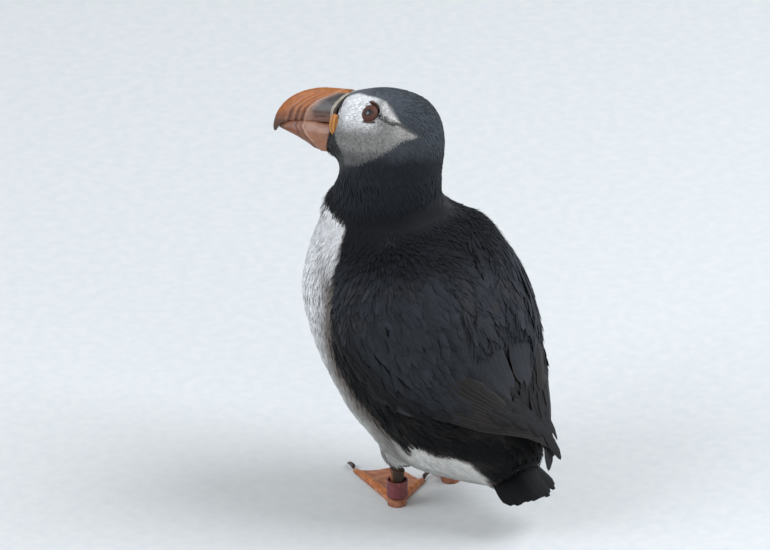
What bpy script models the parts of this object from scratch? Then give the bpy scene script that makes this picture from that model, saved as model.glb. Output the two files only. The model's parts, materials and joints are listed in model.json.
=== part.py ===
"""Atlantic puffin, standing, life size: one solid for each part a person would name.

Metres, +Z up. The bird faces -Y and its left side is +X. Profiles below are written in millimetres
in the plane Y, Z, and MM turns them to metres. The finished bird stands on Z = 0 with the middle of
its box over the origin.
"""

import math

import bmesh
import bpy
import numpy as np
from mathutils import Matrix, Vector

MM = 0.001
GAP = 0.3  # clear space between neighbouring pieces

# The head's own turn about its centre: to the bird's left, bill down, left cheek up.
HEAD_CENTRE = (0.0, -18.0, 187.2)
HEAD_YAW = 21.0
HEAD_PITCH = 7.0
HEAD_ROLL = 14.0

# Body sections from rump to bill: ventral (y, z), dorsal (y, z), half width, level of the widest
# point from ventral 0 to dorsal 1, squareness of the section, share of the head's turn.
BODY_SECTIONS = [
    ((62, 19), (76, 37), 17.0, 0.50, 2.2, 0),
    ((45, 17.5), (74, 54), 27.0, 0.50, 2.2, 0),
    ((24, 16.5), (66, 73), 37.0, 0.50, 2.2, 0),
    ((2, 19), (60.5, 92), 44.0, 0.50, 2.2, 0),
    ((-16.5, 31), (56, 109.5), 48.5, 0.50, 2.1, 0),
    ((-35, 51.5), (50, 123), 50.5, 0.50, 2.1, 0),
    ((-50.5, 75.5), (41, 135), 51.0, 0.50, 2.1, 0),
    ((-60, 101), (30, 144), 49.0, 0.52, 2.1, 0),
    ((-60.5, 123), (18.5, 149.5), 42.0, 0.55, 2.1, 0),
    ((-56, 139.5), (10, 153.5), 33.5, 0.55, 2.1, 0.04),
    ((-51, 151.5), (9.6, 161.5), 28.5, 0.52, 2.0, 0.16),
    ((-45.5, 161), (10.6, 173), 26.4, 0.50, 2.0, 0.42),
    ((-43.5, 168), (12, 185), 25.0, 0.50, 2.1, 0.74),
    ((-43, 171.5), (10, 197), 24.0, 0.50, 2.2, 0.94),
    ((-43, 173), (2.5, 205.5), 23.2, 0.50, 2.3, 1),
    ((-43.8, 174), (-9.5, 210), 22.4, 0.50, 2.4, 1),
    ((-45.4, 175), (-21, 211.4), 21.0, 0.48, 2.3, 1),
    ((-47.6, 176.2), (-30.5, 210.6), 17.8, 0.44, 2.2, 1),
    ((-51, 178.4), (-38.8, 209), 13.0, 0.40, 2.1, 1),
]
BODY_RINGS_PER_SECTION = 3
BODY_SIDES = 24
NECK_CUT = (11.35, 8.9)  # sections where the head and then the neck begin
TAIL_SECTIONS = [
    ((62.6, 19.2), (76.4, 36.8), 16.8, 0.5, 2.2, 0),
    ((68, 18.8), (79, 32), 18.4, 0.5, 2.4, 0),
    ((74.5, 18), (82, 26.5), 19.6, 0.5, 2.8, 0),
    ((80, 17), (84.6, 22), 18.0, 0.5, 3.0, 0),
    ((84, 16), (86.2, 18.6), 10.0, 0.5, 3.0, 0),
]
TAIL_SIDES = 18

# The surface the folded wings lie on: the body, running straight on over the rump to the wing tips.
WING_BED_SECTIONS = [
    ((84, 38), (92, 45), 8.0, 0.5, 2.1, 0),
    ((66, 29), (82.5, 55), 15.0, 0.5, 2.1, 0),
    ((47, 20), (74, 66), 27.4, 0.5, 2.2, 0),
    ((24, 16.5), (66.5, 78), 37.4, 0.5, 2.2, 0),
] + BODY_SECTIONS[3:12]
# For each bed section: angle of the wing's lower edge and of its upper edge, and its thickness.
WING_EDGES = [
    (186, 200, 1.4),
    (160, 184, 1.8),
    (133, 176, 2.4),
    (121, 173, 3.0),
    (108, 172, 3.6),
    (94, 171, 4.0),
    (87, 170, 4.4),
    (84, 169, 4.6),
    (100, 163, 3.8),
    (120, 152, 2.4),
]
WING_TOP = 9.0  # last bed section that the wing reaches
WING_LENGTH_STEPS = 22
WING_WIDTH_STEPS = 8
WING_FOOT = 0.9  # the wing's inner face above the body
WING_TIP_AT = 0.12  # first bed section
WING_EDGE_THICKNESS = 0.6
RIGHT_TIP_TUCK = (10.0, 14.0)  # degrees that the right tip's edges turn under the left one
RIGHT_TUCK_AT, RIGHT_TUCK_SPAN = 2.2, 1.2  # bed sections where the tuck ends and how fast it comes
CROSSED_LIFT_AT = 3.2  # bed section where the left wing's lift ends
CROSSED_TIP_LIFT = 3.4  # the left wing tip lies over the right one

# Bill outlines in the head's own frame: along the bill from the head's centre, and up from it.
CULMEN = [(20, 21.2), (28, 22.3), (36, 22.5), (44, 21.0), (50.4, 18.5), (56, 14.6),
          (60.3, 9.2), (62.2, 3.8), (62.3, 0.9), (61.5, -0.5)]
UPPER_EDGE = [(28, 5.2), (37, 5.6), (45, 5.8), (51.6, 5.2), (56.2, 3.9), (59.8, 1.9),
              (61.5, -0.5)]
LOWER_EDGE = [(28, 4.8), (37, 5.2), (45, 5.4), (51.6, 4.8), (56.0, 3.5), (58.8, 2.0)]
GONYS = [(30, -7.8), (33.4, -9.7), (36.6, -9.5), (40, -7.6), (44.6, -4.4), (49.6, -1.8),
         (54, 0.0), (58.8, 1.6)]
BILL_HALF_WIDTH = 9.6  # at the base
BILL_WIDTH_AT_TIP = 1.1
BILL_STEPS = 16
BILL_SIDE_POINTS = 7
BILL_BASE_AT, BILL_TIP_AT = 26, 65  # forward of the head's centre
BILL_WIDEST_AT = 5.5  # up from the head's centre, along the cutting edges
BILL_HALF_HEIGHT = (17.0, 17.5)  # above and below the widest line
BILL_BASE_SHIFT = 3.4  # the cream ridge's thickness along the bill

EYE_PLACE = (2.6, 13.7, 19.4)  # forward, up and left of the head's centre
EYE_RADIUS = 4.9
EYE_SUNK = 2.6
GAPE_PLACE = (24.8, 5.8, 14.6)
GAPE_SIZE = (2.9, 6.0, 2.6)
GAPE_SUNK = 0.6

LEG_LEFT = (21.0, 7.0)
LEG_RIGHT = (-18.0, 7.5)
FOOT_TURN_LEFT = -46.0  # minus turns the toes to the bird's right
FOOT_TURN_RIGHT = -38.0
SHANK_TOP = 19.4
SHANK_RADIUS = (2.8, 3.7)
TOES = {"outer": (27.0, 44.0, 3.0), "middle": (0.0, 44.0, 3.1), "inner": (-26.0, 30.0, 2.8)}
CLAW_LENGTH = 7.0
CLAW_ROOT, CLAW_POINT = 1.67, 0.32  # radii
CLAW_NARROWNESS = 0.7
CLAW_ARCH = 0.9
CLAW_RINGS, CLAW_SIDES = 6, 8
WEB_THICKNESS = 1.3
TOE_HEIGHT = 3.6
ANKLE_RADIUS = 5.0
FOOT_RINGS = 6
RING_RADIUS = 5.5
RING_WALL = 0.9
RING_HEIGHT = 8.8
RING_FOOT = 4.6


def clear_scene():
    for old in list(bpy.data.objects):
        bpy.data.objects.remove(old)


def make_material(name, colour, roughness):
    material = bpy.data.materials.new(name)
    material.use_nodes = True
    shader = material.node_tree.nodes["Principled BSDF"]
    shader.inputs["Base Color"].default_value = (*colour, 1.0)
    shader.inputs["Roughness"].default_value = roughness
    material.diffuse_color = (*colour, 1.0)
    return material


def spline(values, t):
    """Catmull-Rom curve through a list of numbers or tuples, one unit of t for each span."""
    points = np.asarray(values, float)
    last = len(points) - 1
    t = min(max(t, 0.0), float(last))
    i = min(int(t), last - 1)
    f = t - i
    p1, p2 = points[i], points[i + 1]
    p0 = points[i - 1] if i > 0 else 2 * p1 - p2
    p3 = points[i + 2] if i + 2 <= last else 2 * p2 - p1
    return 0.5 * (2 * p1 + (p2 - p0) * f + (2 * p0 - 5 * p1 + 4 * p2 - p3) * f**2
                  + (3 * p1 - p0 - 3 * p2 + p3) * f**3)


def head_rotation(share):
    yaw = Matrix.Rotation(math.radians(HEAD_YAW * share), 3, "Z")
    pitch = Matrix.Rotation(math.radians(HEAD_PITCH * share), 3, "X")
    roll = Matrix.Rotation(math.radians(-HEAD_ROLL * share), 3, "Y")
    return yaw @ pitch @ roll


def turn_head(point, share):
    centre = Vector(HEAD_CENTRE)
    return centre + head_rotation(share) @ (Vector(point) - centre)


def section_row(sections, s):
    return spline([(*low, *high, *rest) for low, high, *rest in sections], s)


def section_point(sections, s, angle):
    """Point on the body at section s: angle 0 is the belly, 90 the bird's left, 180 the back."""
    y0, z0, y1, z1, width, level, square, turn = section_row(sections, s)
    radians = math.radians(angle)
    side = math.sin(radians)
    across = math.copysign(abs(side) ** (2 / square), side) * width
    share = (1 - math.cos(radians)) / 2
    share = share ** (math.log(level) / math.log(0.5))
    point = (across, y0 + (y1 - y0) * share, z0 + (z1 - z0) * share)
    return turn_head(point, min(max(turn, 0.0), 1.0)) if turn > 0 else Vector(point)


def surface_normal(sections, s, angle):
    step_s, step_angle = 0.02, 1.0
    along = section_point(sections, s + step_s, angle) - section_point(sections, s - step_s, angle)
    around = section_point(sections, s, angle + step_angle) - section_point(sections, s, angle - step_angle)
    return along.cross(around).normalized() * -1.0


def mesh_object(name, points, faces, material):
    """A closed mesh in millimetres as an object in metres, with its faces turned outwards."""
    mesh = bpy.data.meshes.new(name)
    mesh.from_pydata([tuple(Vector(p) * MM) for p in points], [], faces)
    shaped = bmesh.new()
    shaped.from_mesh(mesh)
    bmesh.ops.remove_doubles(shaped, verts=shaped.verts, dist=0.00002)
    bmesh.ops.recalc_face_normals(shaped, faces=shaped.faces)
    shaped.to_mesh(mesh)
    shaped.free()
    mesh.shade_smooth()
    mesh.set_sharp_from_angle(angle=math.radians(40))
    obj = bpy.data.objects.new(name, mesh)
    bpy.context.scene.collection.objects.link(obj)
    if material:
        mesh.materials.append(material)
    return obj


def loft(name, rings, material):
    """Closed solid through rings of points that all have the same count."""
    sides = len(rings[0])
    points = [p for ring in rings for p in ring]
    faces = []
    for i in range(len(rings) - 1):
        for j in range(sides):
            k = (j + 1) % sides
            faces.append((i * sides + j, i * sides + k, (i + 1) * sides + k, (i + 1) * sides + j))
    faces.append(tuple(range(sides)))
    faces.append(tuple((len(rings) - 1) * sides + j for j in range(sides)))
    return mesh_object(name, points, faces, material)


def apply_boolean(obj, other, operation):
    change = obj.modifiers.new(operation, "BOOLEAN")
    change.operation = operation
    change.solver = "EXACT"
    change.object = other
    bpy.context.view_layer.objects.active = obj
    bpy.ops.object.modifier_apply(modifier=change.name)


def cut_away(obj, cutter):
    apply_boolean(obj, cutter, "DIFFERENCE")
    bpy.data.objects.remove(cutter)


def keep_side(obj, name, material, point, normal):
    """A copy of a solid that keeps what lies on the side of a plane its normal points to."""
    shaped = bmesh.new()
    shaped.from_mesh(obj.data)
    geometry = shaped.verts[:] + shaped.edges[:] + shaped.faces[:]
    cut = bmesh.ops.bisect_plane(shaped, geom=geometry, plane_co=point * MM, plane_no=normal,
                                 clear_inner=True)
    rim = [e for e in cut["geom_cut"] if isinstance(e, bmesh.types.BMEdge)]
    bmesh.ops.holes_fill(shaped, edges=rim, sides=0)
    bmesh.ops.recalc_face_normals(shaped, faces=shaped.faces)
    mesh = bpy.data.meshes.new(name)
    shaped.to_mesh(mesh)
    shaped.free()
    mesh.materials.clear()
    mesh.materials.append(material)
    part = bpy.data.objects.new(name, mesh)
    bpy.context.scene.collection.objects.link(part)
    return part


def section_plane(s):
    """Middle and headward normal of a body section."""
    def middle(at):
        return (section_point(BODY_SECTIONS, at, 0) + section_point(BODY_SECTIONS, at, 180)) / 2
    low, high = section_point(BODY_SECTIONS, s, 0), section_point(BODY_SECTIONS, s, 180)
    side = section_point(BODY_SECTIONS, s, 90) - section_point(BODY_SECTIONS, s, 270)
    normal = (high - low).cross(side).normalized()
    if normal.dot(middle(s + 0.2) - middle(s - 0.2)) < 0:
        normal = -normal
    return middle(s), normal


def make_body(black, white, face):
    """Trunk, neck and head: one loft from rump to bill, parted by two thin cuts."""
    last = len(BODY_SECTIONS) - 1
    count = last * BODY_RINGS_PER_SECTION
    rings = []
    for i in range(count + 1):
        s = last * i / count
        turns = [360 * j / BODY_SIDES for j in range(BODY_SIDES)]
        rings.append([section_point(BODY_SECTIONS, s, turn) for turn in turns])
    whole = loft("whole", rings, None)
    head_at, head_up = section_plane(NECK_CUT[0])
    neck_at, neck_up = section_plane(NECK_CUT[1])
    half = GAP / 2
    head = keep_side(whole, "head", face, head_at + head_up * half, head_up)
    below = keep_side(whole, "below", black, head_at - head_up * half, -head_up)
    neck = keep_side(below, "neck", black, neck_at + neck_up * half, neck_up)
    trunk = keep_side(below, "trunk", white, neck_at - neck_up * half, -neck_up)
    bpy.data.objects.remove(whole)
    bpy.data.objects.remove(below)
    return head, neck, trunk


def wing_thickness(share, most):
    """Round at the leading edge, fullest at a quarter of the width, thin towards the back."""
    front = min(share / 0.16, 1.0) ** 0.5
    thinning = 1 - 0.72 * share**1.5
    return WING_EDGE_THICKNESS + (most - WING_EDGE_THICKNESS) * front * thinning


def wing_edges(side, s):
    """Angles of the wing's lower and upper edge, its thickness and its lift at a bed section."""
    low, high, most = spline(WING_EDGES, s)
    if side > 0:
        return low, high, most, CROSSED_TIP_LIFT * max(0.0, 1 - s / CROSSED_LIFT_AT)
    tuck = min(max((RIGHT_TUCK_AT - s) / RIGHT_TUCK_SPAN, 0.0), 1.0)
    return low - RIGHT_TIP_TUCK[0] * tuck, high - RIGHT_TIP_TUCK[1] * tuck, most, 0.0


def make_wing(side, material):
    """Folded wing from its crossing tip up to the shoulder: side is +1 for left, -1 for right."""
    rings = []
    for i in range(WING_LENGTH_STEPS + 1):
        s = WING_TIP_AT + (WING_TOP - WING_TIP_AT) * i / WING_LENGTH_STEPS
        low, high, most, lift = wing_edges(side, s)
        outer, inner = [], []
        for j in range(WING_WIDTH_STEPS):
            share = j / (WING_WIDTH_STEPS - 1)
            angle = low + (high - low) * share
            base = section_point(WING_BED_SECTIONS, s, angle)
            away = surface_normal(WING_BED_SECTIONS, s, angle)
            outer.append(base + away * (WING_FOOT + lift + wing_thickness(share, most)))
            inner.append(base + away * (WING_FOOT + lift))
        ring = outer + inner[::-1]
        rings.append([Vector((p.x * side, p.y, p.z)) for p in ring])
    name = "wing_left" if side > 0 else "wing_right"
    return loft(name, rings, material)


def make_tail(material):
    last = len(TAIL_SECTIONS) - 1
    rings = []
    for i in range(last * 3 + 1):
        turns = [360 * j / TAIL_SIDES for j in range(TAIL_SIDES)]
        rings.append([section_point(TAIL_SECTIONS, i / 3, turn) for turn in turns])
    return loft("tail", rings, material)


def head_point(forward, up, left):
    """A place in the head's own frame, turned with the head."""
    centre = Vector(HEAD_CENTRE)
    return turn_head(centre + Vector((left, -forward, up)), 1.0)


def bill_width(forward, up):
    """Half width of the bill: widest at the base and the cutting edge, thin at culmen and tip."""
    along = min(max((forward - BILL_BASE_AT) / (BILL_TIP_AT - BILL_BASE_AT), 0.0), 1.0)
    width = BILL_WIDTH_AT_TIP + (BILL_HALF_WIDTH - BILL_WIDTH_AT_TIP) * (1 - along**1.5)
    above, below = BILL_HALF_HEIGHT
    height = (up - BILL_WIDEST_AT) / (above if up > BILL_WIDEST_AT else below)
    return max(width * (1 - 0.80 * min(abs(height), 1.0) ** 1.7), 0.55)


def bill_slice(low, high):
    """Places (forward, up, left) up one side of the bill between two outline points."""
    left = []
    for k in range(BILL_SIDE_POINTS):
        h = k / (BILL_SIDE_POINTS - 1)
        forward, up = low + (high - low) * h
        rounding = 0.25 + 0.75 * math.sin(math.pi * min(max(h, 0.06), 0.94)) ** 0.5
        left.append((forward, up, bill_width(forward, up) * rounding))
    return left


def bill_half(name, top_line, bottom_line, material):
    """One mandible: slices from base to tip between two outlines."""
    rings = []
    for i in range(BILL_STEPS + 1):
        t = i / BILL_STEPS
        high = spline(top_line, t * (len(top_line) - 1))
        low = spline(bottom_line, t * (len(bottom_line) - 1))
        left = bill_slice(low, high)
        right = [(f, u, -w) for f, u, w in left[::-1]]
        rings.append([head_point(*place) for place in left + right])
    return loft(name, rings, material)


def base_shift(share, thickness):
    """The rim at the bill's base is thickest on top and thins towards the chin."""
    return thickness * (0.25 + 0.75 * share)


def base_point(share, across, shift):
    """A place on the bill's slanting base: share runs from the chin 0 to the forehead 1."""
    (chin_y, chin_z), (top_y, top_z) = BODY_SECTIONS[-1][:2]
    y = chin_y + (top_y - chin_y) * share - shift
    z = chin_z + (top_z - chin_z) * share
    return turn_head(Vector((across, y, z)), 1.0)


def ridge_ring(thickness, grow):
    """Loop round the base of the bill, moved along it and grown outwards."""
    ring = []
    for j in range(24):
        angle = 2 * math.pi * j / 24
        share = (1 - math.cos(angle)) / 2
        wide = BODY_SECTIONS[-1][2] - 2.0 + grow
        side = math.sin(angle)
        across = math.copysign(abs(side) ** 0.9, side) * wide
        reach = 0.5 + (share - 0.5) * (1 + grow / 17)
        ring.append(base_point(reach, across, base_shift(share, thickness) + GAP))
    return ring


def make_bill(horn, horn_low):
    """Both mandibles, cut square to the front of the rim."""
    low = base_point(0, 0, base_shift(0, BILL_BASE_SHIFT) + GAP)
    high = base_point(1, 0, base_shift(1, BILL_BASE_SHIFT) + GAP)
    side = base_point(0.5, 10, 0) - base_point(0.5, -10, 0)
    front = side.cross(high - low).normalized()
    if front.dot(head_point(60, 0, 0) - low) < 0:
        front = -front
    halves = []
    for name, top, bottom, material in (("bill_upper", CULMEN, UPPER_EDGE, horn),
                                        ("bill_lower", LOWER_EDGE, GONYS, horn_low)):
        whole = bill_half("whole_" + name, top, bottom, None)
        halves.append(keep_side(whole, name, material, low, front))
        bpy.data.objects.remove(whole)
    return halves


def make_ridge(material):
    """The pale swollen rim between the face feathers and the bill's plates."""
    rings = [ridge_ring(0.0, 0.2), ridge_ring(1.0, 1.4), ridge_ring(2.2, 1.3),
             ridge_ring(BILL_BASE_SHIFT - GAP, -0.4)]
    return loft("bill_ridge", rings, material)


def ellipsoid(name, centre, axes, radii, segments, material):
    """Closed ellipsoid in millimetres; axes is a 3 by 3 matrix of its directions."""
    rings = []
    rows = segments // 2
    for i in range(1, rows):
        polar = math.pi * i / rows
        ring = []
        for j in range(segments):
            turn = 2 * math.pi * j / segments
            local = Vector((radii[0] * math.sin(polar) * math.cos(turn),
                            radii[1] * math.sin(polar) * math.sin(turn), radii[2] * math.cos(polar)))
            ring.append(centre + axes @ local)
        rings.append(ring)
    return loft(name, rings, material)


def side_axes(side):
    """Directions of the head's cheek: forward, up, and out to one side."""
    turn = head_rotation(1.0)
    forward = turn @ Vector((0, -1, 0))
    up = turn @ Vector((0, 0, 1))
    out = turn @ Vector((side, 0, 0))
    return Matrix((forward, up, out)).transposed()


def make_eye(side, material):
    forward, up, left = EYE_PLACE
    centre = head_point(forward, up, side * (left - EYE_SUNK))
    name = "eye_left" if side > 0 else "eye_right"
    return ellipsoid(name, centre, side_axes(side), (EYE_RADIUS,) * 3, 14, material)


def make_gape(side, material):
    """The folded rosette at the corner of the mouth."""
    forward, up, left = GAPE_PLACE
    centre = head_point(forward, up, side * (left - GAPE_SUNK))
    name = "gape_left" if side > 0 else "gape_right"
    return ellipsoid(name, centre, side_axes(side), GAPE_SIZE, 12, material)


def make_room(side):
    """Cuts a socket for the eye and a recess for the rosette, GAP wider than each."""
    forward, up, left = EYE_PLACE
    centre = head_point(forward, up, side * (left - EYE_SUNK))
    radii = (EYE_RADIUS + GAP,) * 3
    cut_away(bpy.data.objects["head"], ellipsoid("socket", centre, side_axes(side), radii, 14, None))
    forward, up, left = GAPE_PLACE
    centre = head_point(forward, up, side * (left - GAPE_SUNK))
    radii = tuple(radius + GAP for radius in GAPE_SIZE)
    for name in ("head", "bill_ridge", "bill_upper", "bill_lower"):
        recess = ellipsoid("recess", centre, side_axes(side), radii, 12, None)
        cut_away(bpy.data.objects[name], recess)


def upright_tube(name, centre, rows, sides, material):
    """Upright solid of elliptic rows (z, half width, half depth)."""
    rings = []
    for z, half_x, half_y in rows:
        ring = []
        for j in range(sides):
            turn = 2 * math.pi * j / sides
            x = centre[0] + half_x * math.cos(turn)
            ring.append(Vector((x, centre[1] + half_y * math.sin(turn), z)))
        rings.append(ring)
    return loft(name, rings, material)


def make_thigh(side, place, material, grow=0.0):
    rows = [(SHANK_TOP + GAP - grow, 4.6 + grow, 5.4 + grow), (22.5, 7.0 + grow, 8.2 + grow),
            (26, 9.2 + grow, 11.0 + grow), (31, 10.8 + grow, 13.2 + grow), (36, 11.0 + grow, 13.6 + grow),
            (41, 9.0 + grow, 11.4 + grow), (44 + grow, 5.0 + grow, 6.4 + grow)]
    name = "thigh_left" if side > 0 else "thigh_right"
    return upright_tube(name, place, rows, 16, material)


def make_shank(side, place, material):
    across, deep = SHANK_RADIUS
    rows = [(TOE_HEIGHT + GAP + 0.8, across + 0.5, deep + 0.5), (7, across, deep), (13, across, deep),
            (17, across + 0.3, deep + 0.3), (SHANK_TOP, across + 0.7, deep + 0.8)]
    name = "leg_left" if side > 0 else "leg_right"
    return upright_tube(name, place, rows, 14, material)


def toe_direction(turn):
    """Unit vector on the floor; turn 0 is straight ahead and plus is to the bird's left."""
    radians = math.radians(turn)
    return Vector((math.sin(radians), -math.cos(radians), 0))


def toe_half_width(share, width):
    """Half width of a toe along its length, swollen at its three joints."""
    swelling = math.sin(math.pi * (3 * share + 0.15)) ** 2
    return width * (1 - 0.36 * share + 0.07 * swelling)


def toe_cover(point, fan):
    """How far inside the nearest toe a place on the floor is, from 1 on its axis to 0 at its side."""
    best, best_share = 0.0, 0.0
    for angle, length, width in fan:
        axis = toe_direction(angle)
        along = point.dot(axis)
        share = min(max(along / length, 0.0), 1.0)
        away = (point - axis * (share * length)).length
        cover = 1 - away / toe_half_width(share, width)
        if cover > best:
            best, best_share = cover, share
    return best, best_share


def web_reach(angle, fan):
    """Length of the web in one direction, or 0 outside the toes."""
    for (turn_a, long_a, _), (turn_b, long_b, _) in zip(fan, fan[1:]):
        share = (angle - turn_a) / (turn_b - turn_a)
        if 0 <= share <= 1:
            return (long_a + (long_b - long_a) * share) * (0.985 - 0.06 * math.sin(math.pi * share))
    return 0.0


def foot_reach(angle, fan):
    """Distance from the ankle to the foot's outline in one direction."""
    covered = max(web_reach(angle, fan), ANKLE_RADIUS)
    low, high = covered, 2 * fan[1][1]
    for _ in range(24):
        middle = (low + high) / 2
        if toe_cover(toe_direction(angle) * middle, fan)[0] > 0:
            low = middle
        else:
            high = middle
    return low


def foot_height(point):
    """Height of the foot's upper side over a place measured from the ankle, without the toes."""
    dome = 1 - (point.length / (ANKLE_RADIUS + 0.4)) ** 4
    return max(WEB_THICKNESS, (TOE_HEIGHT + 0.8) * max(dome, 0.0) ** 0.5)


def foot_angles(fan):
    """Directions round the ankle, closest together across the toe tips."""
    angles = {round(-180 + 15 * i, 2) for i in range(24)}
    turns = sorted(turn for turn, _, _ in fan)
    for turn in turns:
        angles |= {round(turn + step, 2) for step in (-6, -4, -2.6, -1.3, 0, 1.3, 2.6, 4, 6)}
    for first, second in zip(turns, turns[1:]):
        angles |= {round(first + (second - first) * k / 5, 2) for k in (1, 2, 3, 4)}
    ordered = sorted((angle + 180) % 360 for angle in angles)
    spread = [ordered[0]]
    for angle in ordered[1:]:
        if angle - spread[-1] > 0.9:
            spread.append(angle)
    return [angle - 180 for angle in spread]


def make_foot(side, place, turn, material):
    """Three toes, their webs and the ankle as one flat-soled solid round the ankle."""
    fan = [(turn + side * angle, length, width) for angle, length, width in TOES.values()]
    origin = Vector((*place, 0))
    angles = foot_angles(fan)
    count = len(angles)
    points, faces = [], []
    for level in range(1, FOOT_RINGS + 1):
        share = (level / FOOT_RINGS) ** 0.8
        for angle in angles:
            local = toe_direction(angle) * (foot_reach(angle, fan) * min(share, 0.995))
            cover, along = toe_cover(local, fan)
            round_top = (1 - (1 - cover) ** 2) ** 0.5
            height = max(foot_height(local), TOE_HEIGHT * (1 - 0.35 * along) * round_top)
            if level == FOOT_RINGS:
                height = WEB_THICKNESS * 0.7
            points.append(origin + local + Vector((0, 0, height)))
    points += [origin + toe_direction(angle) * foot_reach(angle, fan) for angle in angles]
    for level in range(FOOT_RINGS):
        for j in range(count):
            k = (j + 1) % count
            inner, outer = level * count, (level + 1) * count
            faces.append((inner + j, inner + k, outer + k, outer + j))
    top, sole = len(points), len(points) + 1
    points += [origin + Vector((0, 0, TOE_HEIGHT + 0.8)), origin]
    for j in range(count):
        k = (j + 1) % count
        faces.append((top, k, j))
        faces.append((sole, FOOT_RINGS * count + j, FOOT_RINGS * count + k))
    return mesh_object("foot_left" if side > 0 else "foot_right", points, faces, material)


def make_claw(side, place, key, turn, material):
    """Curved claw that leaves the toe tip level and comes down to the floor."""
    angle, length, width = TOES[key]
    direction = toe_direction(turn + side * angle)
    across = direction.cross(Vector((0, 0, 1)))
    start = Vector((*place, 0)) + direction * (length + toe_half_width(1.0, width) + GAP)
    rings = []
    for i in range(CLAW_RINGS):
        t = i / (CLAW_RINGS - 1)
        radius = CLAW_POINT + (CLAW_ROOT - CLAW_POINT) * (1 - t) ** 0.7
        rise = radius + CLAW_ARCH * math.sin(math.pi * t * 0.9)
        centre = start + direction * (CLAW_LENGTH * t) + Vector((0, 0, rise))
        ring = []
        for j in range(CLAW_SIDES):
            turn_round = 2 * math.pi * j / CLAW_SIDES
            sideways = across * (radius * CLAW_NARROWNESS * math.cos(turn_round))
            ring.append(centre + sideways + Vector((0, 0, radius * math.sin(turn_round))))
        rings.append(ring)
    word = "left" if side > 0 else "right"
    return loft(f"claw_{word}_{key}", rings, material)


def make_leg_ring(place, material):
    """Plain closed plastic ring, loose on the left shank."""
    profile = [(RING_RADIUS - RING_WALL, 0), (RING_RADIUS, 0), (RING_RADIUS, RING_HEIGHT),
               (RING_RADIUS - RING_WALL, RING_HEIGHT)]
    points, faces = [], []
    sides = 24
    for j in range(sides):
        turn = 2 * math.pi * j / sides
        for radius, height in profile:
            x, y = place[0] + radius * math.cos(turn), place[1] + radius * math.sin(turn)
            points.append(Vector((x, y, RING_FOOT + GAP + height)))
    for j in range(sides):
        k = (j + 1) % sides
        for m in range(4):
            n = (m + 1) % 4
            faces.append((j * 4 + m, k * 4 + m, k * 4 + n, j * 4 + n))
    return mesh_object("leg_ring", points, faces, material)


def centre_on_floor(objects):
    """Moves every mesh so that the bird's box stands on Z = 0, centred over the origin."""
    corners = np.array([tuple(v.co) for obj in objects for v in obj.data.vertices])
    low, high = corners.min(axis=0), corners.max(axis=0)
    shift = Matrix.Translation(Vector((-(low[0] + high[0]) / 2, -(low[1] + high[1]) / 2, -low[2])))
    for obj in objects:
        obj.data.transform(shift)


def main():
    clear_scene()
    black = make_material("black_feathers", (0.012, 0.013, 0.018), 0.75)
    white = make_material("white_feathers", (0.72, 0.76, 0.80), 0.8)
    face = make_material("face_feathers", (0.45, 0.45, 0.46), 0.8)
    horn = make_material("bill_horn", (0.42, 0.14, 0.05), 0.45)
    horn_low = make_material("lower_bill_horn", (0.30, 0.13, 0.09), 0.45)
    cream = make_material("ridge_horn", (0.60, 0.55, 0.47), 0.5)
    rosette = make_material("gape_skin", (0.55, 0.26, 0.04), 0.5)
    eye = make_material("eye", (0.03, 0.015, 0.01), 0.08)
    orange = make_material("foot_skin", (0.62, 0.20, 0.06), 0.55)
    shank = make_material("shank_skin", (0.10, 0.06, 0.03), 0.55)
    claw = make_material("claw_horn", (0.05, 0.04, 0.035), 0.4)
    plastic = make_material("ring_plastic", (0.11, 0.02, 0.025), 0.4)

    head, neck, trunk = make_body(black, white, face)
    objects = [head, neck, trunk, make_tail(black), make_wing(1, black), make_wing(-1, black)]
    objects += [*make_bill(horn, horn_low)]
    objects.append(make_ridge(cream))
    feet = ((1, LEG_LEFT, FOOT_TURN_LEFT), (-1, LEG_RIGHT, FOOT_TURN_RIGHT))
    for side, place, turn in feet:
        for solid in (make_eye(side, eye), make_gape(side, rosette)):
            objects.append(solid)
        thigh = make_thigh(side, place, white)
        cut_away(trunk, make_thigh(side, place, None, GAP))
        objects += [thigh, make_shank(side, place, shank), make_foot(side, place, turn, orange)]
        objects += [make_claw(side, place, key, turn, claw) for key in TOES]
    objects.append(make_leg_ring(LEG_LEFT, plastic))
    for side in (1, -1):
        make_room(side)
    centre_on_floor(objects)


main()
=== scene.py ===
# Adult Atlantic puffin, life size, standing with its head turned to its left.
# Lengths inside the tables are millimetres in the frame's own directions.
# The bird faces -Y, and its left is +X.
import json
import math

import bpy
import numpy as np
from mathutils import Matrix, Vector
from mathutils.bvhtree import BVHTree
from mathutils.kdtree import KDTree

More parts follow.
